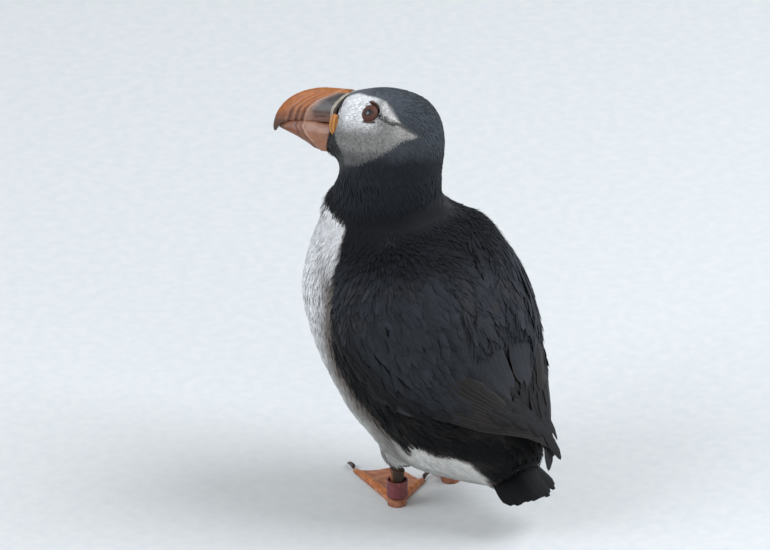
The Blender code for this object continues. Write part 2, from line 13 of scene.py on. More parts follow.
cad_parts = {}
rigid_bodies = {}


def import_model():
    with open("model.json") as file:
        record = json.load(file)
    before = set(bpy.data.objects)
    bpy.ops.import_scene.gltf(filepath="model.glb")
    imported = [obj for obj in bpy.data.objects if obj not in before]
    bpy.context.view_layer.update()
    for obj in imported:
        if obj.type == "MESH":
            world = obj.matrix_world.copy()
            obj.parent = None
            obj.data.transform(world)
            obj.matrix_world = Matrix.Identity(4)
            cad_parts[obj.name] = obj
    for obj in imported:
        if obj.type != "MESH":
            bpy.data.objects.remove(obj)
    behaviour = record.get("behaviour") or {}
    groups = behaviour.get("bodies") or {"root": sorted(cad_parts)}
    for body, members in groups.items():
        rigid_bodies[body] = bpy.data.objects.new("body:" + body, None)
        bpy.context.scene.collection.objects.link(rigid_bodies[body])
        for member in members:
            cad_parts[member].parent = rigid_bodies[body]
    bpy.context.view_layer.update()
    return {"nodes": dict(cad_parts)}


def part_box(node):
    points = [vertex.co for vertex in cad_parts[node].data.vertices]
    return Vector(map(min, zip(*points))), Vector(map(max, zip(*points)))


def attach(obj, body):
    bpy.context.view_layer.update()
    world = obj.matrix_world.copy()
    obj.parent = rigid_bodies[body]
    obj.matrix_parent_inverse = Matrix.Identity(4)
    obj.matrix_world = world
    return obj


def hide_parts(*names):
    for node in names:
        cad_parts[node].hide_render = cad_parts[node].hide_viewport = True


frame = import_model()
mm = 0.001


# small helpers
def tell(stage):
    print("puffin:", stage)


def linear(hexColour, strength=1.0):
    # sRGB hex to the linear colour that shaders and attributes hold
    parts = [int(hexColour[i:i + 2], 16) / 255 for i in (1, 3, 5)]
    parts = [c / 12.92 if c <= 0.04045 else ((c + 0.055) / 1.055) ** 2.4 for c in parts]
    return np.array(parts) * strength


def linkUp(tree, node, links):
    for socket, source in links.items():
        tree.links.new(source, node.inputs[socket])


def addNode(tree, kind, settings=None, links=None):
    # sockets go by name or number, and "stops" fills a colour ramp with (place, hex) pairs
    node = tree.nodes.new(kind)
    for name, value in (settings or {}).items():
        if name == "stops":
            while len(node.color_ramp.elements) < len(value):
                node.color_ramp.elements.new(0.5)
            for element, (place, colour) in zip(node.color_ramp.elements, value):
                element.position = place
                element.color = (*linear(colour), 1)
        elif isinstance(name, int) or name in node.inputs:
            node.inputs[name].default_value = value
        else:
            setattr(node, name, value)
    linkUp(tree, node, links or {})
    return node


multiply = {"data_type": "RGBA", "blend_type": "MULTIPLY"}  # a Mix node: 0 is its share, 6 and 7 its colours


def newMaterial(name, settings):
    # a Principled shader with its constant values set on its own sockets
    material = bpy.data.materials.new(name)
    material.use_nodes = True
    shader = material.node_tree.nodes["Principled BSDF"]
    for socket, value in settings.items():
        shader.inputs[socket].default_value = value
    return material, material.node_tree, shader


def linearSet(colours):
    return {name: linear(colour) for name, colour in colours.items()}


def deselectAll():
    if bpy.context.mode != "OBJECT":
        bpy.ops.object.mode_set(mode="OBJECT")
    bpy.ops.object.select_all(action="DESELECT")


def choose(obj):
    deselectAll()
    obj.select_set(True)
    bpy.context.view_layer.objects.active = obj


def applyModifier(obj, kind, **settings):
    choose(obj)
    modifier = obj.modifiers.new(kind.lower(), kind)
    for name, value in settings.items():
        setattr(modifier, name, value)
    bpy.ops.object.modifier_apply(modifier=modifier.name)


def copyOfNodes(nodeNames, name):
    # merged copy of CAD nodes as one new object
    deselectAll()
    copies = []
    for nodeName in nodeNames:
        copy = frame["nodes"][nodeName].copy()
        copy.data = copy.data.copy()
        copy.parent = None
        for key in list(copy.keys()):
            del copy[key]
        copy.matrix_world = Matrix.Identity(4)
        bpy.context.scene.collection.objects.link(copy)
        copies.append(copy)
    for copy in copies:
        copy.hide_render = False
        copy.hide_set(False)
        copy.select_set(True)
    bpy.context.view_layer.objects.active = copies[0]
    if len(copies) > 1:
        bpy.ops.object.join()
    obj = bpy.context.view_layer.objects.active
    obj.name = name
    obj.data.name = name
    obj.data.materials.clear()
    bpy.ops.object.mode_set(mode="EDIT")
    bpy.ops.mesh.select_all(action="SELECT")
    bpy.ops.mesh.remove_doubles(threshold=0.01 * mm)
    bpy.ops.object.mode_set(mode="OBJECT")
    return obj


def pointsOf(obj):
    points = np.empty(len(obj.data.vertices) * 3)
    obj.data.vertices.foreach_get("co", points)
    return points.reshape(-1, 3) / mm


def normalsOf(obj):
    normals = np.empty(len(obj.data.vertices) * 3)
    obj.data.vertices.foreach_get("normal", normals)
    return normals.reshape(-1, 3)


def trianglesOf(obj):
    mesh = obj.data
    mesh.calc_loop_triangles()
    corners = np.empty(len(mesh.loop_triangles) * 3, np.int32)
    mesh.loop_triangles.foreach_get("vertices", corners)
    return corners.reshape(-1, 3)


def treeOf(objects):
    points, faces, count = [], [], 0
    for obj in objects:
        points.append(pointsOf(obj))
        faces.append(trianglesOf(obj) + count)
        count += len(points[-1])
    return BVHTree.FromPolygons([tuple(p) for p in np.concatenate(points)], np.concatenate(faces).tolist())


def movePoints(obj, points):
    obj.data.vertices.foreach_set("co", (points * mm).ravel())
    obj.data.update()


def giveColour(obj, colours):
    layer = obj.data.attributes.new("coat", "FLOAT_COLOR", "POINT")
    rgba = np.ones((len(colours), 4))
    rgba[:, :3] = colours
    layer.data.foreach_set("color", rgba.ravel())


def giveNumber(obj, values, name):
    layer = obj.data.attributes.new(name, "FLOAT", "POINT")
    layer.data.foreach_set("value", np.asarray(values, float).ravel())


def finishPiece(obj, material, slot, *nodes):
    obj.data.materials.clear()
    obj.data.materials.append(material)
    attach(obj, "root")
    if nodes:
        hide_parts(*nodes)


def smoothSurface(obj):
    choose(obj)
    bpy.ops.object.shade_smooth()


def turnOutwards(obj):
    choose(obj)
    bpy.ops.object.mode_set(mode="EDIT")
    bpy.ops.mesh.select_all(action="SELECT")
    bpy.ops.mesh.normals_make_consistent(inside=False)
    bpy.ops.object.mode_set(mode="OBJECT")


def ease(value, start, end):
    # 0 at start, 1 at end, smooth between
    share = np.clip((value - start) / (end - start), 0, 1)
    return share * share * (3 - 2 * share)


def mix(first, second, share):
    share = np.asarray(share)[..., None]
    return first * (1 - share) + second * share


def unit(vectors):
    return vectors / np.maximum(np.linalg.norm(vectors, axis=-1, keepdims=True), 1e-9)


def insideBy(spots, outline):
    # distance inside a closed outline, minus when outside, for many flat spots at once
    corners = np.asarray(outline, float)
    nearest = np.full(len(spots), 1e9)
    inside = np.zeros(len(spots), bool)
    for start, end in zip(corners, np.roll(corners, -1, axis=0)):
        edge = end - start
        share = np.clip(((spots - start) @ edge) / max(edge @ edge, 1e-9), 0, 1)
        nearest = np.minimum(nearest, np.linalg.norm(spots - start - share[:, None] * edge, axis=1))
        crosses = (start[1] > spots[:, 1]) != (end[1] > spots[:, 1])
        rise = np.where(edge[1] == 0, 1e-9, edge[1])
        meets = start[0] + (spots[:, 1] - start[1]) * edge[0] / rise
        inside ^= crosses & (spots[:, 0] < meets)
    return np.where(inside, nearest, -nearest)


def distanceToLine(spots, line):
    corners = np.asarray(line, float)
    nearest = np.full(len(spots), 1e9)
    for start, end in zip(corners[:-1], corners[1:]):
        edge = end - start
        share = np.clip(((spots - start) @ edge) / (edge @ edge), 0, 1)
        nearest = np.minimum(nearest, np.linalg.norm(spots - start - share[:, None] * edge, axis=1))
    return nearest


def waves(points, size, seed):
    # soft uneven values from -1 to 1 that change over about the given size
    generator = np.random.default_rng(seed)
    total = np.zeros(len(points))
    for _ in range(7):
        way = unit(generator.normal(size=3)) * generator.uniform(0.7, 1.5) / size
        total += np.sin(2 * math.pi * points @ way + generator.uniform(0, 6.28))
    return total / 4.2


# the head's own frame
headTurn = {"yaw": 21.0, "pitch": 7.0, "roll": -14.0}  # to its left, bill down, left cheek up
eyePlace = {"forward": 2.6, "up": 13.7}
# the trunk's own frame has its middle plane at x 0, and the head's middle stands here in it
headInTrunk = np.array([0, -18.0, 187.2])
headAxes = np.array(
    Matrix.Rotation(math.radians(headTurn["yaw"]), 3, "Z")
    @ Matrix.Rotation(math.radians(headTurn["pitch"]), 3, "X")
    @ Matrix.Rotation(math.radians(headTurn["roll"]), 3, "Y")
)
eyeMiddles = [sum(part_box(node), Vector()) / 2 for node in ("eye_left", "eye_right")]
betweenEyes = np.array(sum(eyeMiddles, Vector()) / 2) / mm
headCentre = betweenEyes - headAxes @ np.array([0, -eyePlace["forward"], eyePlace["up"]])
trunkOrigin = headCentre - headInTrunk


def toHead(points):
    # columns: forward, up, left, from the middle of the head
    local = (points - headCentre) @ headAxes
    return np.stack([-local[:, 1], local[:, 2], local[:, 0]], axis=1)


def fromHead(places):
    places = np.asarray(places, float)
    local = np.stack([places[..., 2], -places[..., 0], places[..., 1]], axis=-1)
    return local @ headAxes.T + headCentre


def headWay(forward, up, left):
    return headAxes @ np.array([left, -forward, up], float)


# studio
camera = {
    "azimuth": 133.0, "elevation": 24.0, "distance": 6000.0, "widthAtBird": 385.0,
    "filmWidth": 36.0,
    "target": (-9.0, -29.2, 104.6),  # from the trunk's own frame
}


def buildCamera():
    azimuth, elevation = math.radians(camera["azimuth"]), math.radians(camera["elevation"])
    away = Vector((
        math.sin(azimuth) * math.cos(elevation),
        -math.cos(azimuth) * math.cos(elevation),
        math.sin(elevation),
    ))
    lens = bpy.data.cameras.new("camera")
    lens.sensor_width = camera["filmWidth"]
    lens.lens = camera["filmWidth"] * camera["distance"] / camera["widthAtBird"]
    lens.clip_start, lens.clip_end = 0.1, 20
    obj = bpy.data.objects.new("camera", lens)
    bpy.context.scene.collection.objects.link(obj)
    obj.location = (Vector(trunkOrigin) + Vector(camera["target"]) + away * camera["distance"]) * mm
    obj.rotation_euler = (-away).to_track_quat("-Z", "Y").to_euler()
    bpy.context.scene.camera = obj


studio = {
    # name: place round the bird in metres, size, power in watts, tint
    "windowLight": ((-0.9, 0.9, 1.5), 1.4, 37, "#f2f7ff"),
    "frontLight": ((1.5, -0.7, 1.3), 1.3, 23, "#f4f8ff"),
    "backLight": ((1.0, 1.6, 0.9), 1.6, 7, "#fff8f0"),
    "sky": "#e9eff6",
    "skyStrength": 0.62,
    "floor": "#d0d1cf",
    "floorShade": "#cacccb",
    "aimHeight": 0.1,
}


def buildStudio():
    for name in ("windowLight", "frontLight", "backLight"):
        place, size, power, tint = studio[name]
        light = bpy.data.lights.new(name, "AREA")
        light.size = size
        light.energy = power
        light.color = linear(tint)
        obj = bpy.data.objects.new(name, light)
        bpy.context.scene.collection.objects.link(obj)
        obj.location = place
        aim = Vector((0, 0, studio["aimHeight"])) - Vector(place)
        obj.rotation_euler = aim.to_track_quat("-Z", "Y").to_euler()
    world = bpy.data.worlds.new("softSky")
    world.use_nodes = True
    background = world.node_tree.nodes["Background"]
    background.inputs["Color"].default_value = (*linear(studio["sky"]), 1)
    background.inputs["Strength"].default_value = studio["skyStrength"]
    bpy.context.scene.world = world
    bpy.context.scene.view_settings.view_transform = "Standard"


def buildFloor():
    # matt painted board: even, pale, with very faint roller marks of 6 mm
    material, tree, shader = newMaterial("mattPaintedBoard", {"Roughness": 0.85})
    place = addNode(tree, "ShaderNodeTexCoord").outputs["Object"]
    grain = addNode(tree, "ShaderNodeTexNoise", {"Scale": 160.0, "Detail": 3.0}, {"Vector": place})
    stops = [(0.3, studio["floorShade"]), (0.7, studio["floor"])]
    colour = addNode(tree, "ShaderNodeValToRGB", {"stops": stops}, {"Fac": grain.outputs["Fac"]})
    linkUp(tree, shader, {"Base Color": colour.outputs["Color"]})
    deselectAll()
    bpy.ops.mesh.primitive_plane_add(size=8, location=(0, 0, 0))
    floor = bpy.context.object
    floor.name = "studioFloor"
    floor.data.materials.append(material)


buildCamera()
buildStudio()
buildFloor()
tell("studio ready")


# Markings and painted shade: the same rules colour the skin and every feather's root.
plumage = {
    "cap": "#50555c", "capFront": "#626971", "nape": "#3f444a", "collar": "#20242a",
    "cheekBright": "#fcfdfe", "cheekGrey": "#878683", "cheekLow": "#5d5d5d", "cheekBack": "#a5a39f",
    "behindEye": "#dcdad7", "crease": "#35322f", "chinStrip": "#3b3d3c", "lores": "#5e3d30",
    # the breast's shade colour is painted shade; the border grey is partly the white feathers' dusky edge,
    # partly painted shade
    "breast": "#fbfcfd", "breastPaintedShade": "#6c6560", "belly": "#e2e1dd", "borderGrey": "#4a413d",
    # the flank colour is the flanks' black darkened further as painted shade under the wing
    "back": "#282b31", "backBrown": "#322f2e", "flank": "#060709", "tail": "#08090b",
    "wing": "#272a2f", "wingBrown": "#1f1c1b", "shoulder": "#0a0d13",
}
tint = linearSet(plumage)
# forward and up of the head's middle
facePatch = [
    (25.8, 12.1), (23.2, 16.8), (18.6, 19.9), (14, 21.2), (9.5, 20.8), (0, 19.8), (-4, 18.8),
    (-8.5, 15.7), (-12.8, 10.2), (-15, 7.8), (-18.6, 5.4), (-23.1, 2.2), (-19.5, 1.2), (-16, 0.4),
    (-11.6, -2.2), (-7.1, -5.6), (-1.4, -8.8), (5, -11.4), (10.8, -13), (17.6, -13.6), (18.6, -9),
    (20.4, -3), (22.4, 2), (24.6, 7),
]
behindEyePatch = [(-3.9, 18.6), (-1.0, 13.9), (-12.9, 9.4)]
eyeCrease = [(2.0, 10.8), (-1.3, 11.6), (-8.5, 9.2), (-12.5, 8.8), (-16, 6.6), (-23, 2.2)]
# backward (y) and up (z) of the white underparts seen from the side
underparts = [
    (-81.4, 153), (-42, 153), (-33, 152.5), (-27.4, 152), (-21.4, 151.8), (-17.4, 150), (-14.3, 140),
    (-9, 125.6), (-6.7, 115.6), (-13.4, 95.6), (-10.9, 81), (-2, 71.7), (9.7, 62.7), (17.8, 53.4),
    (23.6, 46), (26.6, 40), (30.1, 49), (35.6, 47.6), (43.6, 43.5), (52.3, 43.7), (59.5, 41),
    (66.1, 32.8), (74.6, 23), (80.6, 17), (80.6, -9), (-81.4, -9),
]


# The folded wings: a bed of sections from tip to shoulder that quills and coverts follow.
# Each row: ventral (y, z), dorsal (y, z), half width, then lower and upper edge angle and thickness.
wingRows = np.array([
    (84, 38, 92, 45, 8, 186, 200, 1.4), (66, 29, 82.5, 55, 15, 160, 184, 1.8),
    (47, 20, 74, 66, 27.4, 133, 176, 2.4), (24, 16.5, 66.5, 78, 37.4, 121, 173, 3.0),
    (2, 19, 60.5, 92, 44, 108, 172, 3.6), (-16.5, 31, 56, 109.5, 48.5, 94, 171, 4.0),
    (-35, 51.5, 50, 123, 50.5, 87, 170, 4.4), (-50.5, 75.5, 41, 135, 51, 84, 169, 4.6),
    (-60, 101, 30, 144, 49, 100, 163, 3.8), (-60.5, 123, 18.5, 149.5, 42, 120, 152, 2.4),
], float)
wingLift = {"foot": 0.9, "crossedTip": 3.4, "tipTuck": 10.0, "least": 0.6}


def alongRows(s):
    # Catmull-Rom curve through the wing rows
    last = len(wingRows) - 1
    s = np.clip(s, 0, last)
    i = np.minimum(s.astype(int), last - 1)
    f = (s - i)[:, None]
    a, b = wingRows[np.maximum(i - 1, 0)], wingRows[i]
    c, d = wingRows[i + 1], wingRows[np.minimum(i + 2, last)]
    return 0.5 * (
        2 * b + (c - a) * f + (2 * a - 5 * b + 4 * c - d) * f * f + (3 * b - a - 3 * c + d) * f ** 3
    )


def wingBed(side, s, q):
    # a place on the bed at station s and share q of the way from lower to upper edge
    row = alongRows(s)
    low, high = row[:, 5], row[:, 6]
    if side < 0:
        tuck = np.clip((2.2 - s) / 1.2, 0, 1)
        low, high = low - wingLift["tipTuck"] * tuck, high - 1.4 * wingLift["tipTuck"] * tuck
    angle = np.radians(low + (high - low) * q)
    share = (1 - np.cos(angle)) / 2
    y = row[:, 0] + (row[:, 2] - row[:, 0]) * share
    z = row[:, 1] + (row[:, 3] - row[:, 1]) * share
    return np.stack([side * np.sin(angle) * row[:, 4], y, z], axis=1) + trunkOrigin


def wingPlace(side, s, q, height):
    # a place over the folded wing, its outward way and the way toward the tip
    s, q = np.asarray(s, float), np.asarray(q, float)
    toTip = unit(wingBed(side, s - 0.05, q) - wingBed(side, s + 0.05, q))
    upward = wingBed(side, s, q + 0.03) - wingBed(side, s, q - 0.03)
    outward = unit(np.cross(toTip, upward)) * side
    lift = wingLift["crossedTip"] * np.maximum(0, 1 - s / 3.2) if side > 0 else 0 * s
    inner = np.minimum(np.clip(q, 0.02, 1) / 0.16, 1) ** 0.5 * (1 - 0.72 * np.clip(q, 0, 1) ** 1.5)
    most = alongRows(s)[:, 7]
    thickness = wingLift["least"] + (most - wingLift["least"]) * inner
    raised = wingLift["foot"] + lift + thickness + height
    return wingBed(side, s, q) + outward * raised[:, None], outward, toTip


def wingGrid():
    s, q = np.meshgrid(np.linspace(0.3, 9, 44), np.linspace(-0.04, 1, 19))
    s, q = s.ravel(), q.ravel()
    both = [wingPlace(side, s, q, 0 * s - 1.0) for side in (1, -1)]
    found = [np.concatenate([one[k] for one in both]) for k in range(3)]
    return found[0], found[2], np.tile(s, 2), np.tile(q, 2)


gridPlaces, gridToTip, gridAlong, gridAcross = wingGrid()
gridTree = KDTree(len(gridPlaces))
for number, place in enumerate(gridPlaces):
    gridTree.insert(place, number)
gridTree.balance()


def nearWing(points):
    # for each place: distance to the wing, way to the tip, station along the wing and share across it
    found = [gridTree.find(place) for place in points]
    nearest = np.array([number for _, number, _ in found])
    away = np.array([distance for _, _, distance in found])
    return away, gridToTip[nearest], gridAlong[nearest], gridAcross[nearest]


def headMarkings(points, places):
    # cap, cheek patch, crease behind the eye and dusky chin
    side = places[:, :2] + np.stack([waves(points, 5, 3), waves(points, 5, 4)], axis=1) * 0.15
    forward, up, left = side[:, 0], side[:, 1], np.abs(places[:, 2])
    colour = mix(tint["nape"], tint["cap"], ease(forward, -22, -2))
    colour = mix(colour, tint["capFront"], ease(forward, 6, 22))
    colour = mix(colour, tint["collar"], ease(up, -2, -12))
    patch = ease(insideBy(side, facePatch), -0.4, 0.5) * ease(left, 5, 8)
    pale = mix(tint["cheekGrey"], tint["cheekBright"], ease(up, 2, 12) * ease(forward, -6, 6))
    pale = mix(pale, tint["cheekLow"], ease(up, -2, -9))
    pale = mix(pale, tint["cheekBack"], ease(forward, -4, -14) * ease(up, -8, 2))
    pale = mix(pale, tint["behindEye"], ease(insideBy(side, behindEyePatch), -0.6, 0.6))
    crease = ease(distanceToLine(side, eyeCrease), 1.0, 0.35)
    pale = mix(pale, tint["crease"], 0.8 * crease)
    aroundEye = np.hypot(forward - eyePlace["forward"], up - eyePlace["up"] - 0.3)
    pale = mix(pale, tint["lores"], ease(aroundEye, 4.9, 3.8))
    colour = mix(colour, pale, patch)
    strip = ease(forward, 16.5, 18.4) * ease(up, 5.5, 3) * ease(up, -15, -12)
    return mix(colour, tint["chinStrip"], strip * (1 - patch))


def bodyMarkingsAndShade(points):
    # black back, collar and flanks round the white breast, belly and vent, with painted shade on the breast's
    # side and under the wing
    uneven = waves(points, 9, 5) * 0.7 + waves(points, 3.5, 6) * 0.4
    side = points[:, 1:].copy()
    side[:, 0] += uneven
    inside = insideBy(side, underparts)
    height = points[:, 2]
    away, _, along, across = nearWing(points + trunkOrigin)
    onWing = ease(away, 5.5, 3.5) * ease(across, -0.01, 0.05)
    # below the wing the body takes the flank colour: black plumage darkened further as painted shade
    dark = mix(tint["flank"], tint["back"], np.maximum(onWing, ease(points[:, 2], 95, 120)))
    dark = mix(dark, tint["wing"], onWing * ease(along, 7.5, 4.5))
    # painted shade: the front of the flank below the wing is darkened further
    dark = mix(dark, tint["flank"], 0.75 * ease(points[:, 1], -2, -14) * ease(height, 120, 105))
    dark = mix(dark, tint["backBrown"], 0.5 * ease(waves(points, 14, 8), -0.2, 0.9))
    dark = mix(dark, tint["shoulder"], ease(height, 128, 142))
    dark = mix(dark, tint["collar"], ease(height, 152, 166))
    dark = mix(dark, tint["tail"], ease(points[:, 1], 64, 74) * ease(height, 60, 45))
    pale = mix(tint["belly"], tint["breast"], ease(height, 55, 100))
    # painted shade on the white breast, deepening toward the black side and the wing, with the upper breast
    # and the vent left clear
    nearBack = insideBy(side, underparts[5:22] + [(68, -9), (-160, -60), (-160, 190)])
    shade = ease(nearBack, 2, 24 + 3 * waves(points, 11, 9))
    shade = np.maximum(shade, 0.85 * ease(height, 122, 140))
    shade = np.maximum(shade, ease(points[:, 1], 14, 26))
    pale = mix(tint["breastPaintedShade"], pale, shade)
    # a thin grey band along the white's border, partly the feathers' dusky edge and partly painted shade
    pale = mix(tint["borderGrey"], pale, ease(nearBack, -0.4, 2.6))
    return mix(dark, pale, ease(inside, -1.1, 0.9))


def markingsAndShade(points):
    places = toHead(points)
    headShare = ease(places[:, 1], -20, -14) * ease(points[:, 2], 158, 166)
    return mix(bodyMarkingsAndShade(points - trunkOrigin), headMarkings(points, places), headShare)


# The skin: one surface in place of head, neck, trunk, thighs, wings and tail.
skinSetting = {
    "fleshEnds": (
        ("wing_left", (30, 52, 70), (-0.35, 0.85, -0.4)),
        ("wing_right", (-30, 52, 70), (0.35, 0.85, -0.4)),
        ("tail", (0, 68, 28), (0, 0.9, -0.43)),
    ),
    "closeGap": 0.65, "voxel": 1.25, "smoothRounds": 8,
    "meltRounds": 150, "roundCorner": 1.6, "headDepth": 0.75, "bodyDepth": 1.25, "thinDepth": 0.55,
    "thighDepth": 1.6, "lastRounds": 3, "meltSteps": 10, "tuck": 0.16,
}
fleshNodes = [
    "trunk", "neck", "head", "thigh_left", "thigh_right", "wing_left", "wing_right", "tail",
]


def coatDepth(points):
    # the coat is thin on the head, deepest low on the body and slight on the tail and at the shanks
    points = points - trunkOrigin
    onHead = ease(points[:, 2], 150, 168)
    depth = skinSetting["bodyDepth"] * (1 - onHead) + skinSetting["headDepth"] * onHead
    thin = np.maximum(ease(points[:, 1], 60, 70), ease(points[:, 2], 19, 14))
    depth = depth + skinSetting["thighDepth"] * ease(points[:, 2], 62, 40) * ease(points[:, 1], -25, 0)
    return depth * (1 - thin) + skinSetting["thinDepth"] * thin


def downAndSkin():
    # bird skin under its down: matt, tufted at about 1 mm, in the colour of the plumage above it
    material, tree, shader = newMaterial("skinUnderDown", {
        "Roughness": 0.9, "Specular IOR Level": 0.15, "Sheen Weight": 0.15,
    })
    coat = addNode(tree, "ShaderNodeAttribute", {"attribute_name": "coat"}).outputs["Color"]
    place = addNode(tree, "ShaderNodeTexCoord").outputs["Object"]
    down = addNode(tree, "ShaderNodeTexNoise", {"Scale": 900.0, "Detail": 4.0}, {"Vector": place})
    stops = [(0.3, "#c4c4c4"), (0.7, "#f0f0f0")]
    shade = addNode(tree, "ShaderNodeValToRGB", {"stops": stops}, {"Fac": down.outputs["Fac"]})
    toned = addNode(tree, "ShaderNodeMix", {**multiply, 0: 1.0}, {6: coat, 7: shade.outputs["Color"]})
    height = {"Height": down.outputs["Fac"]}
    bump = addNode(tree, "ShaderNodeBump", {"Strength": 0.5, "Distance": 0.0004}, height)
    linkUp(tree, shader, {"Base Color": toned.outputs[2], "Normal": bump.outputs["Normal"]})
    return material


def meltShoulders(skin):
    # the wing's front and upper edges run softly into shoulder and back
    points = pointsOf(skin) - trunkOrigin
    weights = ease(points[:, 2], 100, 120) * ease(points[:, 2], 154, 147) * ease(points[:, 1], -20, -6)
    weights = np.maximum(weights, ease(points[:, 2], 80, 96) * ease(np.abs(points[:, 0]), 26, 16))
    corner = ease(np.abs(points[:, 0]), 12, 22) * ease(points[:, 2], 118, 138) * ease(points[:, 1], -14, 2)
    weights *= 1 - 0.85 * ease(points[:, 2], 130, 142) * ease(np.abs(points[:, 0]), 20, 10)
    movePoints(skin, pointsOf(skin) - normalsOf(skin) * (skinSetting["roundCorner"] * corner)[:, None])
    group = skin.vertex_groups.new(name="melt")
    steps = skinSetting["meltSteps"]
    for step in range(1, steps + 1):
        chosen = np.where(np.round(weights * steps) == step)[0]
        if len(chosen):
            group.add(chosen.tolist(), step / steps, "REPLACE")
    applyModifier(skin, "SMOOTH", factor=0.5, iterations=skinSetting["meltRounds"], vertex_group="melt")


def cutBeyond(obj, place, outward):
    # cuts a copied solid square and closes it, where only feathers go on
    choose(obj)
    bpy.ops.object.mode_set(mode="EDIT")
    bpy.ops.mesh.select_all(action="SELECT")
    bpy.ops.mesh.bisect(
        plane_co=[c * mm for c in Vector(trunkOrigin) + Vector(place)], plane_no=outward,
        use_fill=True, clear_outer=True,
    )
    bpy.ops.object.mode_set(mode="OBJECT")


def fleshCopy():
    # wing tips and tail end are feathers only, so flesh stops short of them
    body = copyOfNodes(fleshNodes[:5], "skin")
    extras = []
    for node, place, outward in skinSetting["fleshEnds"]:
        extra = copyOfNodes([node], node + "_flesh")
        cutBeyond(extra, place, outward)
        extras.append(extra)
    deselectAll()
    for obj in extras + [body]:
        obj.select_set(True)
    bpy.context.view_layer.objects.active = body
    bpy.ops.object.join()
    return body


# Line of the cream rim round the bill's base: forward of the head's middle at each height.
rimUp = (-9, -6, -1, 4, 9, 13, 16.8, 19.9, 21.5, 23)
billLine = 7.0  # height of the closed bill's middle line
rimPlaces = (33.0, 30.6, 28.2, 27.2, 27.4, 26.8, 24.4, 20.8, 17.8, 15.0)


def rimForward(up):
    return np.interp(up, rimUp, rimPlaces)


def tuckUnderRim(skin):
    # the skin's front end shrinks inside the bill
    places = toHead(pointsOf(skin))
    share = ease(places[:, 0] - rimForward(places[:, 1]), -0.8, 0.8) * ease(places[:, 1], -13, -10)
    places[:, 1] = billLine + (places[:, 1] - billLine) * (1 - skinSetting["tuck"] * share)
    places[:, 2] *= 1 - skinSetting["tuck"] * share
    movePoints(skin, fromHead(places))


def keepOuterShell(skin):
    # hollows closed off inside the body go, and only what joins its highest point stays
    choose(skin)
    bpy.ops.object.mode_set(mode="EDIT")
    bpy.ops.mesh.select_all(action="DESELECT")
    bpy.ops.object.mode_set(mode="OBJECT")
    skin.data.vertices[int(pointsOf(skin)[:, 2].argmax())].select = True
    bpy.ops.object.mode_set(mode="EDIT")
    bpy.ops.mesh.select_linked()
    bpy.ops.mesh.select_all(action="INVERT")
    bpy.ops.mesh.delete(type="VERT")
    bpy.ops.object.mode_set(mode="OBJECT")


def buildSkin():
    skin = fleshCopy()
    applyModifier(skin, "DISPLACE", strength=skinSetting["closeGap"] * mm, mid_level=0)
    applyModifier(skin, "REMESH", mode="VOXEL", voxel_size=skinSetting["voxel"] * mm)
    keepOuterShell(skin)
    applyModifier(skin, "SMOOTH", factor=0.5, iterations=skinSetting["smoothRounds"])
    meltShoulders(skin)
    points = pointsOf(skin)
    depth = coatDepth(points) + skinSetting["closeGap"]
    movePoints(skin, points - normalsOf(skin) * depth[:, None])
    applyModifier(skin, "SMOOTH", factor=0.5, iterations=skinSetting["lastRounds"])
    tuckUnderRim(skin)
    giveColour(skin, markingsAndShade(pointsOf(skin)))
    smoothSurface(skin)
    finishPiece(skin, downAndSkin(), "white_feathers", *fleshNodes)
    return skin


skin = buildSkin()
tell(f"skin has {len(skin.data.polygons)} faces")


# Lie of the coat: which way feathers point at any place, from the bill back and down to the tail.
def lieStations():
    spine = [((0, -18.4, 175), (0, 0.1, -1)), ((0, -20.4, 160), (0, 0, -1)),
             ((0, -20.4, 146), (0, 0.1, -1)), ((0, -13.4, 120), (0, 0.33, -0.94)),
             ((0, 0.6, 95), (0, 0.5, -0.86)), ((0, 14.6, 72), (0, 0.62, -0.78)),
             ((0, 33.6, 53), (0, 0.75, -0.66)), ((0, 53.6, 40), (0, 0.85, -0.5)),
             ((0, 70.6, 28), (0, 0.9, -0.42)), ((0, 82.6, 20), (0, 0.93, -0.36))]
    head = [((32, 4, 0), (-1, 0, 0)), ((16, 5, 0), (-1, 0.02, 0)), ((2, 5, 0), (-0.97, -0.1, 0)),
            ((-12, 3, 0), (-0.6, -0.8, 0)), ((2, -8, 0), (-0.75, -0.65, 0))]
    places = [trunkOrigin + place for place, _ in spine] + [fromHead(place) for place, _ in head]
    ways = [way for _, way in spine] + [headWay(*way) for _, way in head]
    return np.array(places, float), unit(np.array(ways, float))


stationPlaces, stationWays = lieStations()
lieReach = 15.0


def lieAlong(points, outward):
    far = ((points[:, None, :] - stationPlaces[None]) ** 2).sum(axis=2)
    weights = np.exp(-(far - far.min(axis=1, keepdims=True)) / (2 * lieReach ** 2))
    way = unit(weights @ stationWays)
    away, wingWay, _, _ = nearWing(points)
    way = mix(way, wingWay, ease(away, 9, 3))
    way -= (way * outward).sum(axis=1, keepdims=True) * outward
    return unit(way)


# Where each root falls on an unwrap of the skin: round the body and along it.
unwrapLine = trunkOrigin + np.array([
    (0, 82, 20), (0, 54, 40), (0, 34, 53), (0, 15, 72), (0, 1, 95), (0, -13, 120), (0, -20, 146),
    (0, -20, 160), (0, -18, 175), (0, -18, 187), (8.5, -38, 186), (11.5, -47, 184),
], float)


unwrapSetting = {"width": 0.96, "start": 0.03, "length": 0.94, "spare": 30}


